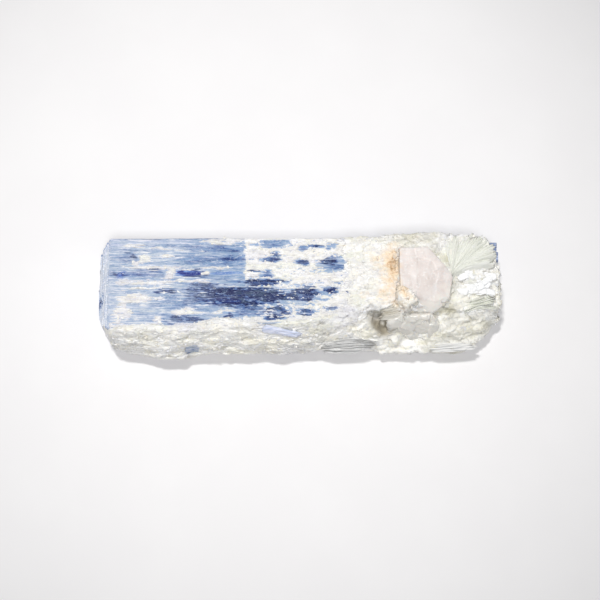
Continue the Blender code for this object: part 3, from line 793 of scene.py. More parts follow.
def crust_fields(points, crevice_shade=0.0):
    """Stains and tints of the crust at these points, lilac-grey towards the bottom, with painted shade in its
    crevices and hollows and painted light on its flank.
    """
    x, z = points[..., 0], points[..., 2]
    lilac = np.clip(blobs(points, LILAC), 0.0, 1.0)
    lilac *= 0.4 + 0.6 * smooth(fractal(points, (4.0, 0.5, 0.5), 3, 620), -0.4, 0.5)
    right = smooth(x, 10.0, 18.0)
    mossy = smooth(fractal(points, (4.2, 2.2, 2.2), 3, 630), 0.0, 0.7) * (0.06 + 0.18 * right)
    return {
        "rust": np.clip(blobs(points, RUST), 0.0, 1.0),
        "olive": np.clip(blobs(points, OLIVE) + mossy + 0.03 * right, 0.0, 1.0),
        "lilac": np.clip(lilac + 0.22 * smooth(-z, -6.0, -3.0), 0.0, 1.0),
        # Whiter below the top of the crust: painted light on the front flank.
        "cream_and_painted_light": 0.85 * smooth(-z, -13.0, -10.5),
        # Painted shade: the crevice shade given here, and the spots of painted shade.
        "shade": np.clip(crevice_shade + blobs(points, PAINTED_SHADE_SPOTS), 0.0, 0.85),
    }


def crust_loft(name, rings, fields, node=None):
    """A piece of crust over rings that run clockwise seen from +X."""
    obj = loft(name, rings[:, ::-1], {key: values[:, ::-1] for key, values in fields.items()})
    return finished(obj, CRUST_LOOK, node)


def with_underside(upper, xs, y, low):
    """Closes each row of a sheet with four points at the height `low`."""
    under = [at(xs, y[:, -1] + (y[:, 0] - y[:, -1]) * t, low) for t in (0.0, 0.33, 0.67, 1.0)]
    return np.concatenate([upper, np.stack(under, axis=1)], axis=1)


def widened(field):
    """A field of a sheet, with 0 at the four points of its underside."""
    return np.pad(field, [(0, 0), (0, 4)])


def make_film():
    """The thin crust on the broad face. It dips into the blade where the blade is bare."""
    left, right, back = -41.4, 15.0, 12.0
    xs = spaced((left, right, 0.155))
    across = np.linspace(0.0, 1.0, 212)
    x = np.repeat(xs[:, None], len(across), axis=1)
    front = front_edge(x) + 0.25
    y = front + (back - front) * across[None, :]
    within = smooth(x, left, left + 0.4) * smooth(-y, -back, 0.2 - back) * smooth(-x, -right, 1.5 - right)
    cover = film_cover(x, y) * within - 0.7 * (1.0 - within)
    present = smooth(cover, -0.06, 0.34)
    thick = smooth(cover, 0.1, 1.0)
    coarse = shattered(at(x, y, 0.0), (1.1, 0.65, 1.0), 300, slope=0.7, jumps=0.6)
    small = shattered(at(x, y, 3.0), (0.5, 0.34, 1.0), 330, slope=0.7, jumps=0.6)
    relief = 0.058 * coarse + 0.042 * small + 0.10 * flat(x, y, (2.6, 0.30), 3, 310)
    height = -0.14 + 0.26 * present + 0.24 * thick + (0.35 + 0.65 * thick) * present * relief
    upper = at(x, y, blade_top(x, y) + height)
    rings = with_underside(upper, xs, y, THICKNESS - 1.2)
    # Painted shade in the low places of the film's relief.
    fields = crust_fields(rings, widened(smooth(-relief, 0.05, 0.22) * 0.30 * present))
    tint = smooth(fractal(rings, (5.0, 0.8, 1.0), 3, 340), -0.3, 0.5)
    thin = widened(present * (1.0 - thick)) * (0.35 + 0.65 * smooth(-xs, 12.0, 22.0))[:, None]
    fields["lilac"] = np.clip(fields["lilac"] + 0.35 * tint + 0.7 * thin, 0.0, 1.0)
    crust_loft("crust_film", rings, fields)
    return upper, present


# ---------------------------------------------------------------- the crust's mass
# Its outline at each x, as (y, z): widest point, shoulder, upper flank, lip, inner top and back edge.
CRUST_STATIONS = {
    -42.8: [(-8.2, 4.6), (-7.9, 7.4), (-7.5, 8.8), (-7.1, 9.8), (-6.5, 9.4), (-6.2, 8.8)],
    -42: [(-9.6, 4.8), (-9.3, 8.2), (-9, 10.6), (-8.6, 12), (-7.7, 11.8), (-7.3, 11.2)],
    -41: [(-11, 5), (-10.4, 9), (-9.9, 11.8), (-9.2, 13.1), (-8.3, 13), (-7.7, 12.2)],
    -38.5: [(-12.2, 5.2), (-11.2, 9.2), (-10.2, 11.9), (-9.4, 13.2), (-8.4, 13.1), (-7.8, 12.2)],
    -35: [(-12.9, 5.2), (-11.5, 9.2), (-10.3, 11.9), (-9.4, 13.2), (-8.4, 13.1), (-7.8, 12.2)],
    -30: [(-14, 5.4), (-12.1, 9.3), (-10.5, 11.9), (-9.4, 13.2), (-8.4, 13.1), (-7.8, 12.2)],
    -25: [(-13.9, 5.4), (-12.1, 9.3), (-10.5, 11.9), (-9.3, 13.2), (-8.3, 13.1), (-7.7, 12.2)],
    -21: [(-12.7, 5.2), (-11.5, 9.2), (-10.2, 11.8), (-8.9, 13.2), (-7.7, 13.1), (-6.9, 12.2)],
    -17: [(-12.5, 5.2), (-11.2, 9.2), (-9.6, 11.9), (-8.2, 13.3), (-7, 13.2), (-6.2, 12.3)],
    -12: [(-12.6, 5.2), (-11.2, 9.2), (-9.6, 11.9), (-8.3, 13.3), (-7.1, 13.2), (-6.4, 12.3)],
    -7: [(-12.3, 5.2), (-11, 9), (-9.4, 11.7), (-8.2, 13.2), (-7.2, 13.1), (-6.5, 12.3)],
    -3: [(-12.8, 5.2), (-11.1, 9), (-9.4, 11.7), (-8, 13.2), (-7, 13.1), (-6.3, 12.3)],
    1: [(-12.5, 5.2), (-10.9, 8.8), (-9.2, 11.6), (-7.8, 13.3), (-6.8, 13.1), (-6, 12.3)],
    5: [(-12.2, 5.2), (-10.7, 9), (-8.8, 11.9), (-7.2, 13.4), (-5.8, 13.1), (-5, 12.3)],
    9: [(-12.2, 5), (-10.4, 8.8), (-8, 12.2), (-6.2, 13.5), (-3.5, 12.9), (12.1, 12.2)],
    14: [(-12.4, 5), (-10, 8.2), (-6.9, 12.2), (-4, 13.8), (4, 13.7), (12.4, 13.5)],
    20: [(-12.3, 4.8), (-9.4, 7.4), (-5.6, 11.8), (-3, 14.2), (4, 14.1), (12.5, 14.2)],
    24: [(-12.3, 4.8), (-9.2, 7), (-5, 11.3), (-2.6, 14), (4, 14.3), (12.6, 14.5)],
    30: [(-12.2, 4.8), (-9.2, 7), (-5.2, 11), (-2, 13.6), (4, 13.9), (12.6, 14.6)],
    36: [(-11.9, 4.4), (-9, 6.8), (-4.4, 10.6), (1, 12.4), (6, 13.3), (12.6, 14.6)],
    40: [(-10.4, 4.6), (-8, 7), (-3.6, 10.4), (2, 12.2), (6.5, 13), (12.4, 14.4)],
    42: [(-8.8, 4.8), (-7, 6.8), (-3.2, 9.9), (2.4, 11.7), (6, 12.6), (12, 14)],
    44.7: [(-5.2, 4.6), (-4.3, 6.2), (-2.4, 8.8), (1.6, 10.8), (3.6, 11.4), (5.4, 12.4)],
}
END_RINGS = 22
# Hollows (positive) and swellings (negative) of the crust: (x, y, z, radius, depth).
CRUST_DENTS = [
    (16.8, -6, 12.3, 1.1, 2), (18.2, -6.9, 11, 1.5, 3.5), (19.5, -8, 9.2, 1.3, 3.4),
    (21.5, 5.6, 14, 1, 1.3), (35.2, 4.2, 13, 0.8, 1), (36.6, 5, 13, 0.7, 0.8), (31.4, -5.2, 10.8, 1, 1.2),
    (-24.4, -13.6, 4.6, 0.8, 1.2), (-6, -8.9, 12.6, 1.4, 0.6), (-2, -9.8, 11.6, 1.4, 0.6),
    (21.8, -9.6, 6.6, 1.4, -1), (18.6, -10.2, 5.6, 1.4, -0.6), (17, -2.5, 13.6, 2.5, -0.4),
    (35, -6.5, 8, 3, -0.6), (24.6, -3.6, 13.2, 1.9, -1.9), (22.7, -1.4, 13.8, 1.3, -1.5),
    (22, 4.4, 14, 0.7, -0.9), (30.6, 9.4, 14.2, 1, -0.9), (28.2, -5, 12.4, 1.3, -1),
    (22.4, 7.6, 14, 0.9, -0.8), (31.8, -2.8, 12.6, 1, -0.9), (21.6, 2.2, 14.1, 0.9, -0.5),
    (-23.4, -12.9, 7, 2.1, 2.3), (26, -8.6, 8, 3, 0.6), (5.6, -11.6, 5.4, 2.4, 0.8),
    (11, -11.2, 6.6, 3.4, 1.9), (16, -11.6, 5.2, 2.4, 0.9),
]
# The first of them are the deep ones, which hold no flakes.
DEEP_DENTS = 5
# Tinted places, and after them spots of painted shade: (x, y, z, radius, strength).
RUST = [
    (21.2, 5.2, 14, 2.2, 1), (20.8, 8.2, 14, 2.6, 0.65), (20.6, 2.4, 14.2, 2.6, 0.55),
    (19.6, -1.4, 14, 3.2, 0.5), (16.8, 7, 14, 3, 0.35), (22.8, -3.8, 13.6, 2.2, 0.5),
    (23.4, -0.8, 16.4, 2.6, 0.75), (24.6, -3.6, 16, 2.2, 0.35), (14.6, -1.6, 13.8, 2, 0.25),
]
OLIVE = [
    (33.6, -3.8, 11, 1.8, 0.9), (41.5, -5.5, 6.5, 2.6, 0.5), (16.8, -6, 12.4, 1.2, 1),
    (18.2, -6.9, 11, 1.2, 1.2), (19.5, -8, 8.8, 1.2, 1.1), (24.6, 11.8, 14.4, 2.6, 0.5),
    (29, 11.5, 14.4, 2.2, 0.3), (30, 8.4, 14, 1.8, 0.4), (33.4, 6.4, 13.8, 1.6, 0.5),
    (33.6, 1, 13.4, 1.8, 0.35), (22.8, -8.6, 8, 2, 0.35), (38.4, -7.4, 8, 3, 0.25),
    (33, -10.6, 4, 5, 0.35), (-12, -9.8, 11.5, 2.6, 0.22), (-34, -10.6, 10.5, 2.6, 0.22),
    (6, -9.4, 10.8, 3, 0.25),
]
LILAC = [
    (11, -6, 13, 3.4, 0.8), (-8, -8.4, 13, 2.6, 0.4), (-24, -8.8, 13, 3.2, 0.5), (-30, -12.4, 3, 5, 0.6),
    (-2, -10.8, 2.5, 6, 0.7), (-39, -10, 6, 4, 0.4),
]
# Spots of painted shade, most of them in the hollows listed above, a few in a crack of the lip and along the
# foot of the flank.
PAINTED_SHADE_SPOTS = [
    (21.9, 5.5, 13.2, 0.7, 0.5), (16.8, -6, 12.3, 1, 0.7), (18, -6.7, 10.6, 2, 1.5),
    (19.4, -7.8, 8.6, 1.9, 1.5), (33.6, -3.8, 11, 1.2, 0.35), (34.6, -11.2, 4.6, 1, 0.5),
    (37.4, -11, 4.6, 1, 0.5), (40, -9.8, 4.8, 0.9, 0.3), (5.7, -7.9, 13, 0.5, 0.5),
    (4.4, -8.1, 12.9, 0.5, 0.4), (35, 4.1, 13, 0.7, 0.6), (36.4, 4.9, 13, 0.7, 0.5),
    (31.4, -5.2, 10.6, 0.8, 0.35), (-24.4, -13.4, 4.4, 0.8, 0.7),
]
# Leafy places of the crust: (x, y, z, radius, direction of the leaves in degrees, relief).
LEAVES = [
    (11.5, -5.8, 13, 3.6, 4, 0.2), (21.5, -5, 12.8, 2.6, 16, 0.4), (40, -1, 11, 3, 8, 0.28),
    (37, -10, 5, 4.5, 2, 0.22), (25.6, 11.8, 14.4, 4, -16, 0.26), (31, 9, 14, 2.4, -40, 0.22),
    (-24, -9.6, 12.8, 5, 0, 0.16), (-36, -11.2, 6, 6, -8, 0.16), (-27, -12.4, 5, 5, 6, 0.14),
    (-10, -11.4, 6, 5, -3, 0.16), (0, -11.4, 5, 8, 0, 0.2), (4, -9.6, 10, 4, -10, 0.18),
    (28, -9, 7, 4, 12, 0.18),
]


def station_grid(xs, count):
    """The crust's outer surface before its relief: one row of evenly spaced points for each x."""
    stations = sorted(CRUST_STATIONS)
    drawn = np.array([CRUST_STATIONS[x] for x in stations], float)
    fine = np.arange(-47.0, 47.0, 0.2)
    kernel = np.hanning(13) / np.hanning(13).sum()

    def eased(values):
        """Values at the stations, with straight lines between them and rounded corners."""
        raw = np.pad(np.interp(fine, stations, values), 6, mode="edge")
        return np.interp(xs, fine, np.convolve(raw, kernel, mode="valid"))

    rows = [np.stack([eased(drawn[:, i, k]) for k in (0, 1)], axis=-1) for i in range(6)]
    back_y, back_z = rows[-1].T
    wrap = smooth(xs, 9.5, 12.5)
    hem = 10.9 + 1.5 * lumps(at(xs / 3.1, 0.0), 480) + 0.7 * lumps(at(xs / 0.9, 3.0), 482)
    foot, ankle = (rows[0] * [1.0, 0.0] + shift for shift in ([3.0, 0.0], [1.7, 1.6]))
    tucked = np.maximum(back_z - 1.6, np.minimum(back_z, 11.0) - 0.4)
    fold = np.stack([back_y - 0.05, back_z - 0.4 - 0.6 * wrap], -1)
    behind = np.stack([back_y - 0.1 - 0.9 * wrap, tucked + (hem - tucked) * wrap], -1)
    corners = np.stack([foot, ankle, *rows, fold, behind], axis=1)
    grid = np.zeros((len(xs), count, 3))
    for n, x in enumerate(xs):
        steps = np.hypot(*np.diff(corners[n], axis=0).T)
        along = np.concatenate([[0.0], np.cumsum(steps)])
        spread = np.linspace(0.0, along[-1], count)
        grid[n] = at(x, *(np.interp(spread, along, corners[n, :, k]) for k in (0, 1)))
    for _ in range(8):
        grid[:, 1:-1] = 0.25 * grid[:, :-2] + 0.5 * grid[:, 1:-1] + 0.25 * grid[:, 2:]
    return grid


def blobs(points, places):
    """Soft round spots, each 1 in its middle times its strength."""
    total = np.zeros(points.shape[:-1])
    for x, y, z, radius, strength in places:
        distance = np.linalg.norm(points - np.array([x, y, z]), axis=-1)
        total += strength * np.exp(-((distance / radius) ** 2) * 1.4)
    return total


def leafy(points, seed):
    """Ridges of mica leaves seen edge on, each place with its own direction, and a mask of their grooves,
    where shade is painted.
    """
    relief = np.zeros(points.shape[:-1])
    groove = np.zeros(points.shape[:-1])
    px, py, pz = np.moveaxis(points, -1, 0)
    for k, (x, y, z, radius, angle, height) in enumerate(LEAVES):
        near = np.linalg.norm(points - np.array([x, y, z]), axis=-1)
        near = smooth(-near, -radius * 1.2, -radius * 0.6)
        c, s = math.cos(math.radians(angle)), math.sin(math.radians(angle))
        lines = fractal(at(px * c + py * s, py * c - px * s, pz), (4.0, 0.55, 0.55), 3, seed + k * 5)
        sheets = np.abs(np.mod(lines * 1.6, 1.0) - 0.5) * 2.0
        relief += near * height * (sheets - 0.5)
        groove = np.maximum(groove, near * smooth(-sheets, -0.22, 0.0) * min(1.0, height * 2.6))
    return relief, groove


def crust_end(last):
    """Rings that close the crust's right end with a rough rounded face."""
    middle = last.mean(0)
    caps = []
    for k in range(1, END_RINGS + 1):
        share = k / (END_RINGS + 0.5)
        cap = middle + (last - middle) * (1.0 - share**1.6)
        relief = 0.38 * shattered(cap, (1.0, 1.8, 1.2), 486, slope=0.8, jumps=0.7)
        relief += 0.16 * shattered(cap, (1.0, 0.8, 0.5), 487, slope=0.8, jumps=0.6)
        cap[:, 0] += 0.30 * math.sin(share * math.pi / 2.0) + relief * min(1.0, k / 3.0)
        caps.append(cap)
    return np.stack(caps)


def make_crust():
    """The crust's mass. It gives its outer surface, with normals, and the points of its right end."""
    xs = spaced((-42.8, 7.0, 0.26), (7.0, 44.7, 0.168))
    grid = station_grid(xs, count=190)
    x, z = grid[..., 0], grid[..., 2]
    normal = grid_normals(grid)
    turned = grid + 0.5 * np.stack([fractal(grid, 2.2, 2, 490 + k) for k in range(3)], axis=-1)
    lump = fractal(grid, (5.0, 3.0, 3.0), 2, 400)
    coarse = shattered(turned, (2.6, 1.4, 1.0), 410, slope=0.8, jumps=0.5)
    middling = shattered(turned, (1.2, 0.6, 0.45), 440, slope=0.8, jumps=0.5)
    small = fractal(grid, (1.1, 0.4, 0.3), 2, 470)
    leaves, groove = leafy(grid, 500)
    right = smooth(x, 8.0, 16.0)
    fine = (0.19 + 0.07 * right) * coarse + (0.07 + 0.045 * right) * middling + 0.035 * small + leaves
    calm = 0.85 + 0.15 * smooth(z, 3.0, 7.0)
    dents = blobs(grid, CRUST_DENTS)
    push = (0.46 + 0.10 * right) * lump * calm + fine * (0.35 + 0.65 * calm)
    push = push * smooth(z, 0.0, 0.9) * (0.3 + 0.7 * smooth(x, -42.8, -41.0)) - dents
    moved = grid + normal * push[..., None]
    moved[..., 2] = np.maximum(moved[..., 2], 0.0)
    moved[..., 1] = np.minimum(moved[..., 1], 12.9)
    last_x, last_y, last_z = moved[:, -1].T
    behind = np.minimum(front_edge(xs) + 0.7, last_y - 0.9)
    corners = [
        moved[:, -1],
        at(last_x, last_y - 0.8, np.minimum(last_z - 0.6, THICKNESS - 3.4)),
        at(last_x, behind, np.minimum(last_z - 1.2, 6.0)),
        at(last_x, behind, 0.0),
        moved[:, 0],
    ]
    inner = []
    for start, stop, parts in zip(corners, corners[1:], (3, 7, 7, 9)):
        inner += [start + (stop - start) * k / parts for k in range(1, parts + 1)]
    inner.pop()
    rings = np.concatenate([moved, np.stack(inner, axis=1)], axis=1)
    end = crust_end(rings[-1])
    # Painted shade in the crust's crevices, in the grooves between its leaves and in its deep hollows.
    crevice_shade = smooth(-fine, 0.10, 0.36) * 0.22 + 0.42 * groove + smooth(dents, 0.8, 2.4) * 0.25
    crevice_shade = np.pad(crevice_shade, [(0, END_RINGS), (0, len(inner))])
    rings = np.concatenate([rings, end])
    crust_loft("crust_mass", rings, crust_fields(rings, crevice_shade), "crust")
    return moved, normal, end.reshape(-1, 3)


def make_knoll():
    """A heap of crust that climbs over the pink crystal's lower left corner."""
    xs = spaced((20.4, 28.4, 0.11))
    x, y = np.meshgrid(xs, np.linspace(-7.4, 1.8, 84), indexing="ij")
    wx, wy = (v + 0.55 * fractal(at(x, y), 1.7, 3, seed) for v, seed in ((x, 650), (y, 655)))
    share = share_of((23.6, -2.4, 3.0, 3.7, 1.0), wx, wy)
    rough = shattered(at(x, y, 0.0), (1.3, 0.9, 1.0), 660, slope=0.8, jumps=0.6)
    fine = shattered(at(x, y, 3.0), (0.55, 0.45, 1.0), 665, slope=0.7, jumps=0.6)
    upper = at(x, y, 8.4 + 8.6 * smooth(share, -0.35, 0.55) + 0.30 * rough + 0.14 * fine)
    upper += 0.45 * at(*[fractal(upper, (1.5, 1.5, 1.0), 3, seed) for seed in (670, 675)])
    rings = with_underside(upper, xs, y, 7.8)
    # Painted shade in the low places of the knoll's relief.
    fields = crust_fields(rings, widened(smooth(-rough - fine, 0.2, 1.0) * 0.15))
    # The knoll's own cream colour, through the same field as the flank's painted light.
    fields["cream_and_painted_light"] = np.full(rings.shape[:2], 0.6)
    fields["olive"] = 0.3 * fields["olive"]
    return crust_loft("crust_knoll", rings, fields)


# ---------------------------------------------------------------- flakes and grains
# How many places are drawn for the flakes of the crust, of its end and of the broad face, ...
CRUST_FLAKES, END_FLAKES, FACE_TRIES, FACE_FLAKES = 3200, 260, 5000, 600
# ... and for the grains on the crust, on its end, round the pink crystal and on the blade's back edge.
CRUST_GRAINS, END_GRAINS, COLLAR_GRAINS, BACK_CRUMBS = 800, 160, 230, 14


def tangent_frames(normals, rng):
    """Unit normals, and two directions across each, turned at random."""
    normals = normals / np.maximum(np.linalg.norm(normals, axis=-1, keepdims=True), 1e-9)
    first = np.cross(normals, rng.normal(size=normals.shape))
    first /= np.maximum(np.linalg.norm(first, axis=-1, keepdims=True), 1e-9)
    return normals, first, np.cross(normals, first)


def many(name, points, faces, centres, rng):
    """One mesh of small pieces that share their faces. Each has a tone of its own."""
    count, corners = points.shape[:2]
    quads = (np.arange(count) * corners)[:, None, None] + np.array(faces)[None]
    fields = crust_fields(np.repeat(centres, corners, axis=0))
    fields["tone"] = np.repeat(rng.uniform(0.0, 1.0, count), corners)
    obj = add_mesh(name, points, quads, fields, smooth_shade=False)
    return finished(obj, FLAKE_LOOK)


def make_flakes(name, centres, normals, radii, rng, tilt):
    """Many small broken plates of mica."""
    count = len(centres)
    normals, first, second = tangent_frames(normals + tilt * rng.normal(size=normals.shape), rng)
    angles = (np.arange(6) + rng.uniform(-0.32, 0.32, (count, 6))) * (math.tau / 6.0)
    reach = radii[:, None] * rng.uniform(0.6, 1.1, (count, 6))
    slim = rng.uniform(0.45, 1.0, (count, 1))
    flat_x, flat_y = reach * np.cos(angles), reach * slim * np.sin(angles)
    plate = first[:, None, :] * flat_x[..., None] + second[:, None, :] * flat_y[..., None]
    half = (radii * rng.uniform(0.05, 0.10, count))[:, None, None] * normals[:, None, :]
    centres = centres - normals * radii[:, None] * 0.08
    plate += centres[:, None]
    faces = [(0, 1, 2, 3), (3, 4, 5, 0), (9, 8, 7, 6), (6, 11, 10, 9)]
    faces += [(6 + i, 6 + (i + 1) % 6, (i + 1) % 6, i) for i in range(6)]
    return many(name, np.concatenate([plate + half, plate - half], axis=1), faces, centres, rng)


def make_grains(name, centres, radii, rng):
    """Many small broken grains of quartz."""
    count = len(centres)
    corners = np.array(list(itertools.product((-1, 1), repeat=3)), float)
    _, first, second = tangent_frames(rng.normal(size=(count, 3)), rng)
    size = radii[:, None, None] * rng.uniform(0.5, 1.0, (count, 1, 3))
    local = corners[None] * size * rng.uniform(0.55, 1.0, (count, 8, 3))
    axes = np.stack([first, second, np.cross(first, second)], axis=1)
    points = centres[:, None] + np.einsum("nij,njk->nik", local, axes)
    faces = [(0, 1, 3, 2), (4, 6, 7, 5), (0, 4, 5, 1), (2, 3, 7, 6), (0, 2, 6, 4), (1, 5, 7, 3)]
    return many(name, points, faces, centres, rng)


def picked(surface, count, rng):
    """Rows and columns of random places on the crust, spread evenly along X."""
    rows, columns = surface.shape[:2]
    width = np.gradient(surface[:, 0, 0])
    return rng.choice(rows, count, p=width / width.sum()), rng.integers(2, columns - 12, count)


def in_the_open(places, height):
    """True for places that are above this height or in front of the blade."""
    return (places[:, 2] > height) | (places[:, 1] < front_edge(places[:, 0]) - 0.3)


def scatter(surface, normal, end, film_surface, film_present):
    """Loose flakes and grains on the crust, on its right end and on the film."""
    rng = np.random.default_rng(7)
    end = end[(end[:, 1] < 6.4) & (end[:, 2] > 0.8)]
    spots = picked(surface, CRUST_FLAKES, rng)
    centres, normals = surface[spots], normal[spots]
    keep = (blobs(centres, CRUST_DENTS[:DEEP_DENTS]) <= 0.7) & (centres[:, 2] > 1.6)
    keep &= in_the_open(centres, THICKNESS + 0.05)
    centres, normals = centres[keep], normals[keep]
    radii = 0.18 + (0.30 + 0.32 * smooth(centres[:, 2], 5.0, 8.0)) * rng.random(len(centres)) ** 3
    make_flakes("mica_flakes", centres, normals, radii, rng, tilt=0.12)
    spots = end[rng.permutation(len(end))[:END_FLAKES]]
    facing = np.tile([1.0, 0.0, 0.0], (len(spots), 1))
    radii = 0.2 + 0.5 * rng.random(len(spots)) ** 3
    make_flakes("mica_flakes_on_end", spots, facing, radii, rng, tilt=0.25)
    rows, columns = film_surface.shape[:2]
    spots = rng.integers(0, rows, FACE_TRIES), rng.integers(3, columns - 3, FACE_TRIES)
    spots = film_surface[spots][film_present[spots] > 0.9][:FACE_FLAKES]
    up = np.tile([0.0, 0.0, 1.0], (len(spots), 1))
    radii = 0.14 + 0.42 * rng.random(len(spots)) ** 3
    make_flakes("mica_flakes_on_face", spots, up, radii, rng, tilt=0.10)
    centres = surface[picked(surface, CRUST_GRAINS, rng)]
    centres = centres[(centres[:, 2] > 6.0) & in_the_open(centres, THICKNESS - 0.2)]
    radii = 0.14 + 0.36 * rng.random(len(centres)) ** 3
    collar = crystal_collar(surface.reshape(-1, 3), rng)
    places = [centres, end_spots(rng), end[rng.permutation(len(end))[:END_GRAINS]], collar]
    centres = np.concatenate([*places, back_crumbs(rng)])
    radii = np.concatenate([radii, 0.15 + 0.35 * rng.random(len(centres) - len(radii)) ** 2])
    radii[-len(collar) - BACK_CRUMBS : -BACK_CRUMBS] *= 1.9
    make_grains("quartz_grains", centres, radii, rng)


def crystal_collar(surface, rng):
    """Places on the crust close round the pink crystal's left and lower sides."""
    low, high = (np.array(corner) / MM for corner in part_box("pink_crystal"))
    x, y, z = surface.T
    near = (x > low[0] - 1.2) & (x < high[0] + 1.0) & (y > low[1] - 1.4) & (y < high[1] + 0.8) & (z > 11.5)
    near = surface[near][::3]
    shape = remeshed("pink_crystal", 0.5)[0]
    gap = np.array([np.linalg.norm(shape - point, axis=1).min() for point in near])
    near = near[(gap > 0.15) & (gap < 0.9)]
    left = near[:, 0] + 0.9 * near[:, 1] < 30.0
    near = near[left | (rng.random(len(near)) < 0.3)]
    near = near[rng.permutation(len(near))[:COLLAR_GRAINS]]
    inward = (0.5 * (low + high) - near) * [1.0, 1.0, 0.0]
    inward /= np.linalg.norm(inward, axis=1, keepdims=True)
    return near + 0.35 * inward + [0.0, 0.0, 0.30]


def end_spots(rng):
    """Places on the blade's broken right end, where crust still clings."""
    tries = 150
    y = rng.uniform(7.4, 11.9, tries)
    z = 8.6 * rng.random(tries) ** 1.2
    stays = lumps(at(y / 1.6, z / 1.6), 488) > -0.1
    return at(rng.uniform(44.0, 44.8, tries), y, z)[stays]


def back_crumbs(rng):
    """A few crumbs on the top of the blade's back edge."""
    spans = (-17.4, -13.4), (11.7, 12.1), (12.5, 12.9)
    return at(*(rng.uniform(low, high, BACK_CRUMBS) for low, high in spans))


# ---------------------------------------------------------------- mica books
def leaf_outline(angles, seed):
    """Reach of a broken mica leaf, about 1, cut by a few straight breaks."""
    reach = (np.abs(np.cos(angles)) ** 4 + np.abs(np.sin(angles)) ** 4) ** -0.25
    for k in range(9):
        away = np.cos(angles - math.tau * hashed(at(k, seed), 700))
        depth = 0.66 + 0.6 * hashed(at(k, seed), 701)
        reach = np.where(away > 0.05, np.minimum(reach, depth / np.maximum(away, 0.05)), reach)
    ragged = fractal(at(np.cos(angles) * 3.0, np.sin(angles) * 3.0, seed), 1.0, 3, 702)
    return reach * (1.0 + 0.10 * ragged)


def stack(centre, along, across, size, step, count):
    """Sheets on top of each other, each (middle, along, across, half length, half width, thickness)."""
    centre, along, across, step = (np.array(v, float) for v in (centre, along, across, step))
    made = []
    for k in range(count):
        slip, drift = (0.5 * float(hashed(at(k, 5.0), seed)) - 0.25 for seed in (710, 711))
        place = centre + (k - 0.5 * (count - 1)) * step
        place = place + slip * size[1] * along + drift * size[1] * 0.6 * across
        made.append((place, along, across, *size, float(np.linalg.norm(step))))
    return made


def fan(pivot, first, last, count, limits, depth, lean, thick):
    """Sheets that stand on edge and spread from a pivot, from one direction to another in degrees.
    None reaches further than `limits` along X, along Y and in all."""
    made = []
    for k, turn in enumerate(np.radians(np.linspace(first, last, count))):
        along = np.array([math.cos(turn), math.sin(turn), 0.05])
        across = np.array([-math.sin(turn) * lean, math.cos(turn) * lean, 1.0])
        length = min(limits[0] / max(along[0], 0.01), limits[1] / max(along[1], 0.01), limits[2])
        length *= 0.88 + 0.12 * float(hashed(at(k, 3.0), 720))
        made.append((np.array(pivot) + along * length * 0.5, along, across, length * 0.5, depth, thick))
    return made


def book(name, node, material, sheets, seed, wave=0.3, pinch=0.0, fineness=(48, 7)):
    """A book of thin wavy mica sheets, each with `fineness` points round its rim and circles inside.
    A pinch draws the sheets together towards +X, and a negative one spreads them."""
    around, circles = fineness
    angles = np.arange(around) * math.tau / around
    spread = (np.arange(1, circles + 1) / circles)[:, None]
    edge = np.append(np.repeat(spread.ravel(), around), 0.0)
    points, quads, leaf = [], [], []
    for k, (middle, along, across, half_length, half_width, thickness) in enumerate(sheets):
        u = np.array(along, float) / np.linalg.norm(along)
        v = np.array(across, float) - u * np.dot(across, u)
        v /= np.linalg.norm(v)
        n = np.cross(u, v)
        size, plump, tone = (float(hashed(at(k, seed), chosen)) for chosen in (703, 704, 705))
        reach = leaf_outline(angles, seed + k * 3.7) * (0.86 + 0.2 * size)
        a = np.append((spread * reach * np.cos(angles) * half_length).ravel(), 0.0)
        b = np.append((spread * reach * np.sin(angles) * half_width).ravel(), 0.0)
        lift = wave * fractal(at(a / 4.5, b / 2.2, 0.15 * k), 1.0, 2, seed + 20)
        lift += 0.06 * fractal(at(a / 1.6, b / 0.5, k * 9.0), 1.0, 3, seed + 30)
        squeeze = 1.0 - pinch * smooth(a / half_length, 0.1, 1.0)
        offset = middle - sheets[len(sheets) // 2][0] if pinch else np.zeros(3)
        origin = middle - offset + offset * squeeze[:, None]
        place = origin + u * a[:, None] + v * b[:, None] + n * lift[:, None]
        thick = 0.5 * thickness * (0.85 + 0.35 * plump)
        swell = n * (thick * np.sqrt(np.clip(1.02 - edge**8, 0.02, 1.0)) * squeeze)[:, None]
        points += [place + swell, place - swell]
        leaf.append(np.full(2 * len(a), tone))
        quads.append(leaf_faces(around, circles) + k * 2 * len(a))
    fields = {"leaf": np.concatenate(leaf), "rim": np.tile(smooth(edge, 0.8, 1.0), 2 * len(sheets))}
    obj = add_mesh(name, np.concatenate(points), np.concatenate(quads), fields)
    return finished(obj, material, node)


def leaf_faces(around, circles):
    """Faces of one closed leaf: a top and a bottom of nested circles, joined at the rim."""
    total = around * circles + 1
    i = np.arange(around)
    j = (i + 1) % around
    hub = np.full(around, total - 1)
    rings = [c * around for c in range(circles)]
    top = [np.stack([a + i, b + i, b + j, a + j], -1) for a, b in zip(rings, rings[1:])]
    bottom = [ring[:, ::-1] + total for ring in top]
    top.append(np.stack([i, j, hub, hub], -1))
    bottom.append(np.stack([j, i, hub, hub], -1) + total)
    side = [rings[-1] + i, total + rings[-1] + i, total + rings[-1] + j, rings[-1] + j]
    return np.concatenate([*top, *bottom, np.stack(side, -1)])


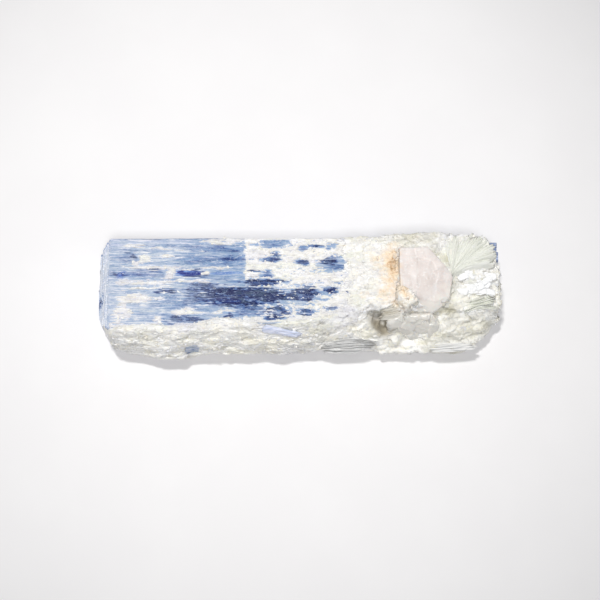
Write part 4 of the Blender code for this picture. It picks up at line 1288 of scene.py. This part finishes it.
def white_scales():
    """The white patch: many small overlapping packets of sheets."""
    rng = np.random.default_rng(21)
    made = []
    for _ in range(26):
        x, y = rng.uniform(36.6, 43.1), rng.uniform(-0.2, 4.6)
        height = 11.6 + 0.22 * (y + 0.2) + 0.10 * (39.5 - x) / 4.0 + rng.uniform(0.0, 0.25)
        turn, tip, roll = rng.uniform(-0.5, 0.7), rng.uniform(-0.1, 0.45), rng.uniform(-0.22, 0.22)
        size = rng.uniform(0.9, 1.7)
        along, across = (math.cos(turn), math.sin(turn), roll), (-math.sin(turn), math.cos(turn), tip)
        made += stack((x, y, height), along, across, (size, size * 0.6), (0.02, -0.08, 0.17), 3)
    return made


def make_books():
    grey = mica_material("grey_mica", (0.93, 0.93, 0.92), (0.83, 0.83, 0.83), 0.30)
    green = mica_material("green_mica", (0.85, 0.855, 0.80), (0.765, 0.78, 0.70), 0.14)
    white = mica_material("white_mica", (0.97, 0.97, 0.97), (0.91, 0.92, 0.93), 0.12, 0.2)
    ledge = mica_material("crust_mica", (0.88, 0.86, 0.80), (0.66, 0.60, 0.48), 0.9, 0.25)
    # Grey sheets on edge along the foot of the front flank. The outer ones are shorter and narrower.
    flank = stack((11.4, -10.6, 5.2), (1.0, 0.0, 0.0), (0.0, -0.25, 0.97), (7.0, 3.3), (0.0, 0.13, 0.03), 26)
    for k, (*place, half_length, half_width, thick) in enumerate(flank):
        share = 0.50 + 0.50 * min(1.0, k / 18.0)
        flank[k] = (*place, half_length * share**0.5, half_width * share, thick * 1.3)
    book("grey_mica_sheets", "grey_mica_book", grey, flank, 3, wave=0.22, pinch=0.55)
    # Green sheets that spread like a fan over the upper right corner.
    corner = fan((34.6, 3.4, 12.9), 16.0, 100.0, 56, (9.9, 9.4, 11.6), 1.45, 0.6, 0.30)
    book("green_mica_sheets", "green_mica_book", green, corner, 5, wave=0.14)
    book("white_mica_sheets", "white_mica_book", white, white_scales(), 8, wave=0.16,
         fineness=(36, 6))
    edges = stack((39.8, -2.4, 9.5), (1.0, 0.26, 0.0), (0.0, -0.31, 0.95), (4.6, 1.9),
                  (-0.06, 0.23, 0.07), 12)
    book("edge_mica_sheets", "edge_mica_book", green, edges, 11, wave=0.30, pinch=-0.4)
    # Two small books of the crust itself: on the ledge left of the clear quartz, and low in the flank.
    shelf = stack((21.8, -5.2, 12.4), (1.0, 0.24, 0.02), (-0.1, 0.35, 1.0), (3.6, 0.9), (0.03, 0.17, 0.10), 9)
    book("ledge_mica_sheets", None, ledge, shelf, 14, wave=0.24)
    band = stack((34.4, -10.8, 5.0), (1.0, 0.06, 0.0), (0.0, -0.50, 0.87), (5.2, 1.6), (0.0, 0.20, 0.08), 9)
    book("low_mica_sheets", None, grey, band, 17, wave=0.30, pinch=0.4)


# ---------------------------------------------------------------- crystals
def remeshed(node, voxel):
    """A fine even mesh of a CAD node's solid: points in millimetres, quads and outward normals."""
    temporary = bpy.data.objects.new("temporary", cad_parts[node].data.copy())
    bpy.context.scene.collection.objects.link(temporary)
    modifier = temporary.modifiers.new("even", "REMESH")
    modifier.mode = "VOXEL"
    modifier.voxel_size = voxel * MM
    graph = bpy.context.evaluated_depsgraph_get()
    mesh = bpy.data.meshes.new_from_object(temporary.evaluated_get(graph))
    points = np.zeros(len(mesh.vertices) * 3)
    mesh.vertices.foreach_get("co", points)
    normals = np.zeros(len(mesh.vertices) * 3)
    mesh.vertex_normals.foreach_get("vector", normals)
    quads = np.array([list(p.vertices) + [p.vertices[-1]] * (4 - len(p.vertices)) for p in mesh.polygons])
    bpy.data.objects.remove(temporary)
    bpy.data.meshes.remove(mesh)
    return points.reshape(-1, 3) / MM, quads, normals.reshape(-1, 3)


def make_pink_crystal():
    points, quads, normal = remeshed("pink_crystal", 0.13)
    steps = shattered(points, (5.0, 5.0, 5.0), 800, slope=0.05, jumps=0.8)
    chips = shattered(points, (1.3, 1.3, 1.0), 810, slope=0.4, jumps=0.6)
    edges = smooth(fractal(points, 1.6, 2, 820), 0.25, 0.8)
    push = 0.06 * steps + 0.03 * fractal(points, 2.4, 3, 830) + 0.09 * chips * edges
    points = points + normal * push[:, None]
    rust = np.exp(-((points[:, 0] - 22.2) / 0.7) ** 2) * smooth(fractal(points, 1.4, 3, 840), -0.2, 0.6)
    foot = smooth(-points[:, 2] - 0.5 * fractal(points, 1.6, 3, 845), -16.0, -14.2)
    obj = add_mesh("pink_quartz_crystal", points, quads, {"rust": 0.55 * rust, "foot": 0.8 * foot})
    return finished(obj, pink_material(), "pink_crystal")


def make_clear_quartz():
    points, quads, normal = remeshed("clear_quartz", 0.13)
    facets = shattered(points, (2.6, 2.2, 3.0), 850, slope=0.8, jumps=0.05)
    chips = shattered(points, (1.2, 0.9, 1.3), 856, slope=0.6, jumps=0.1)
    push = 0.25 + 0.45 * facets + 0.08 * chips + 0.05 * fractal(points, 1.6, 2, 860)
    obj = add_mesh("clear_quartz_crystal", points + normal * push[:, None], quads)
    return finished(obj, clear_material(), "clear_quartz")


def make_small_kyanite(name, node, look, lie, depth, bloom, seed):
    """A loose piece of kyanite, streaked along the direction `lie`."""
    points, quads, normal = remeshed(node, 0.09)
    lie = np.array(lie, float) / np.linalg.norm(lie)
    along = points @ lie
    streaks = fractal(points - lie * along[:, None] * 0.93, 0.35, 2, seed)
    blocks = shattered(points, (2.4, 0.9, 0.8), seed + 7, slope=0.5, jumps=0.6)
    push = 0.09 * streaks + 0.06 * fractal(points, 1.0, 2, seed + 5) + 0.12 * blocks
    points = points + normal * push[:, None]
    fields = {
        "depth": np.clip(depth + 0.22 * streaks + 0.12 * fractal(points, 0.8, 3, seed + 8), 0.02, 1.0),
        "haze": np.clip(bloom + 0.6 * fractal(points, 1.0, 3, seed + 9), 0.0, 1.2),
        "lilac": np.ones(len(points)),
        "vivid": np.zeros(len(points)),
    }
    return finished(add_mesh(name, points, quads, fields), look, node)


# ---------------------------------------------------------------- stage
def add_floor():
    """A wide sheet of pale paper."""
    grid = bmesh.new()
    bmesh.ops.create_grid(grid, x_segments=1, y_segments=1, size=2.0)
    mesh = bpy.data.meshes.new("floor")
    grid.to_mesh(mesh)
    grid.free()
    floor = bpy.data.objects.new("floor", mesh)
    bpy.context.scene.collection.objects.link(floor)
    g = Graph("paper")
    paper = g.mix(g.patches(24.0, 0.35, 0.7, 3.0), rgb(0.825, 0.818, 0.828), rgb(0.84, 0.834, 0.843))
    mesh.materials.append(g.set(color=paper, roughness=0.9, specular=0.1))


def add_lamp(name, kind, place, aim, power):
    """A lamp at a place in metres that shines at a point."""
    lamp = bpy.data.lights.new(name, kind)
    lamp.energy = power
    obj = bpy.data.objects.new(name, lamp)
    obj.location = place
    obj.rotation_euler = (Vector(aim) - obj.location).to_track_quat("-Z", "Y").to_euler()
    bpy.context.scene.collection.objects.link(obj)
    return lamp


def add_lights():
    """A small lamp high up at the back left, a wide one high up in front, and a pale room."""
    world = bpy.data.worlds.new("studio")
    bpy.context.scene.world = world
    world.use_nodes = True
    room = world.node_tree.nodes["Background"]
    room.inputs[0].default_value = rgb(0.985, 0.99, 1.0)
    room.inputs[1].default_value = 0.23
    key = add_lamp("key", "SPOT", (-0.11, 0.12, 0.84), (-0.012, 0.024, 0.0), 18.4)
    key.color = (1.0, 0.985, 0.965)
    key.shadow_soft_size = 0.045
    key.spot_blend = 1.0
    key.spot_size = math.radians(21.0)
    fill = add_lamp("fill", "AREA", (0.05, -0.34, 0.82), (0.0, 0.0, 0.0), 3.1)
    fill.size = 0.18


def add_camera():
    """Looks down on the specimen from the front."""
    elevation, distance = math.radians(72.0), 0.3
    target = Vector((0.6, -0.35, 6.5)) * MM
    back = Vector((0.0, -math.cos(elevation), math.sin(elevation)))
    data = bpy.data.cameras.new("camera")
    data.lens = 80.0
    data.sensor_width = 36.0
    data.clip_start = 0.01
    camera = bpy.data.objects.new("camera", data)
    camera.location = target + back * distance
    camera.rotation_euler = (-back).to_track_quat("-Z", "Y").to_euler()
    bpy.context.scene.collection.objects.link(camera)
    bpy.context.scene.camera = camera


# ---------------------------------------------------------------- all
bpy.context.scene.view_settings.view_transform = "Standard"
add_camera()
add_lights()
add_floor()
KYANITE = kyanite_material()
CRUST_LOOK = crust_material()
FLAKE_LOOK = flake_material()
make_blade()
film_surface, film_present = make_film()
crust_surface, crust_normal, crust_right_end = make_crust()
make_knoll()
scatter(crust_surface, crust_normal, crust_right_end, film_surface, film_present)
make_pink_crystal()
make_clear_quartz()
PALE_KYANITE = pale_kyanite_material()
for piece, look, lie, depth, bloom, seed in (
    ("kyanite_splinter", PALE_KYANITE, (8.5, -1.2, -1.3), 0.04, 1.15, 900),
    ("kyanite_grain", KYANITE, (1.0, 0.3, 0.0), 0.26, 0.75, 920),
):
    make_small_kyanite(piece + "_skin", piece, look, lie, depth, bloom, seed)
make_books()
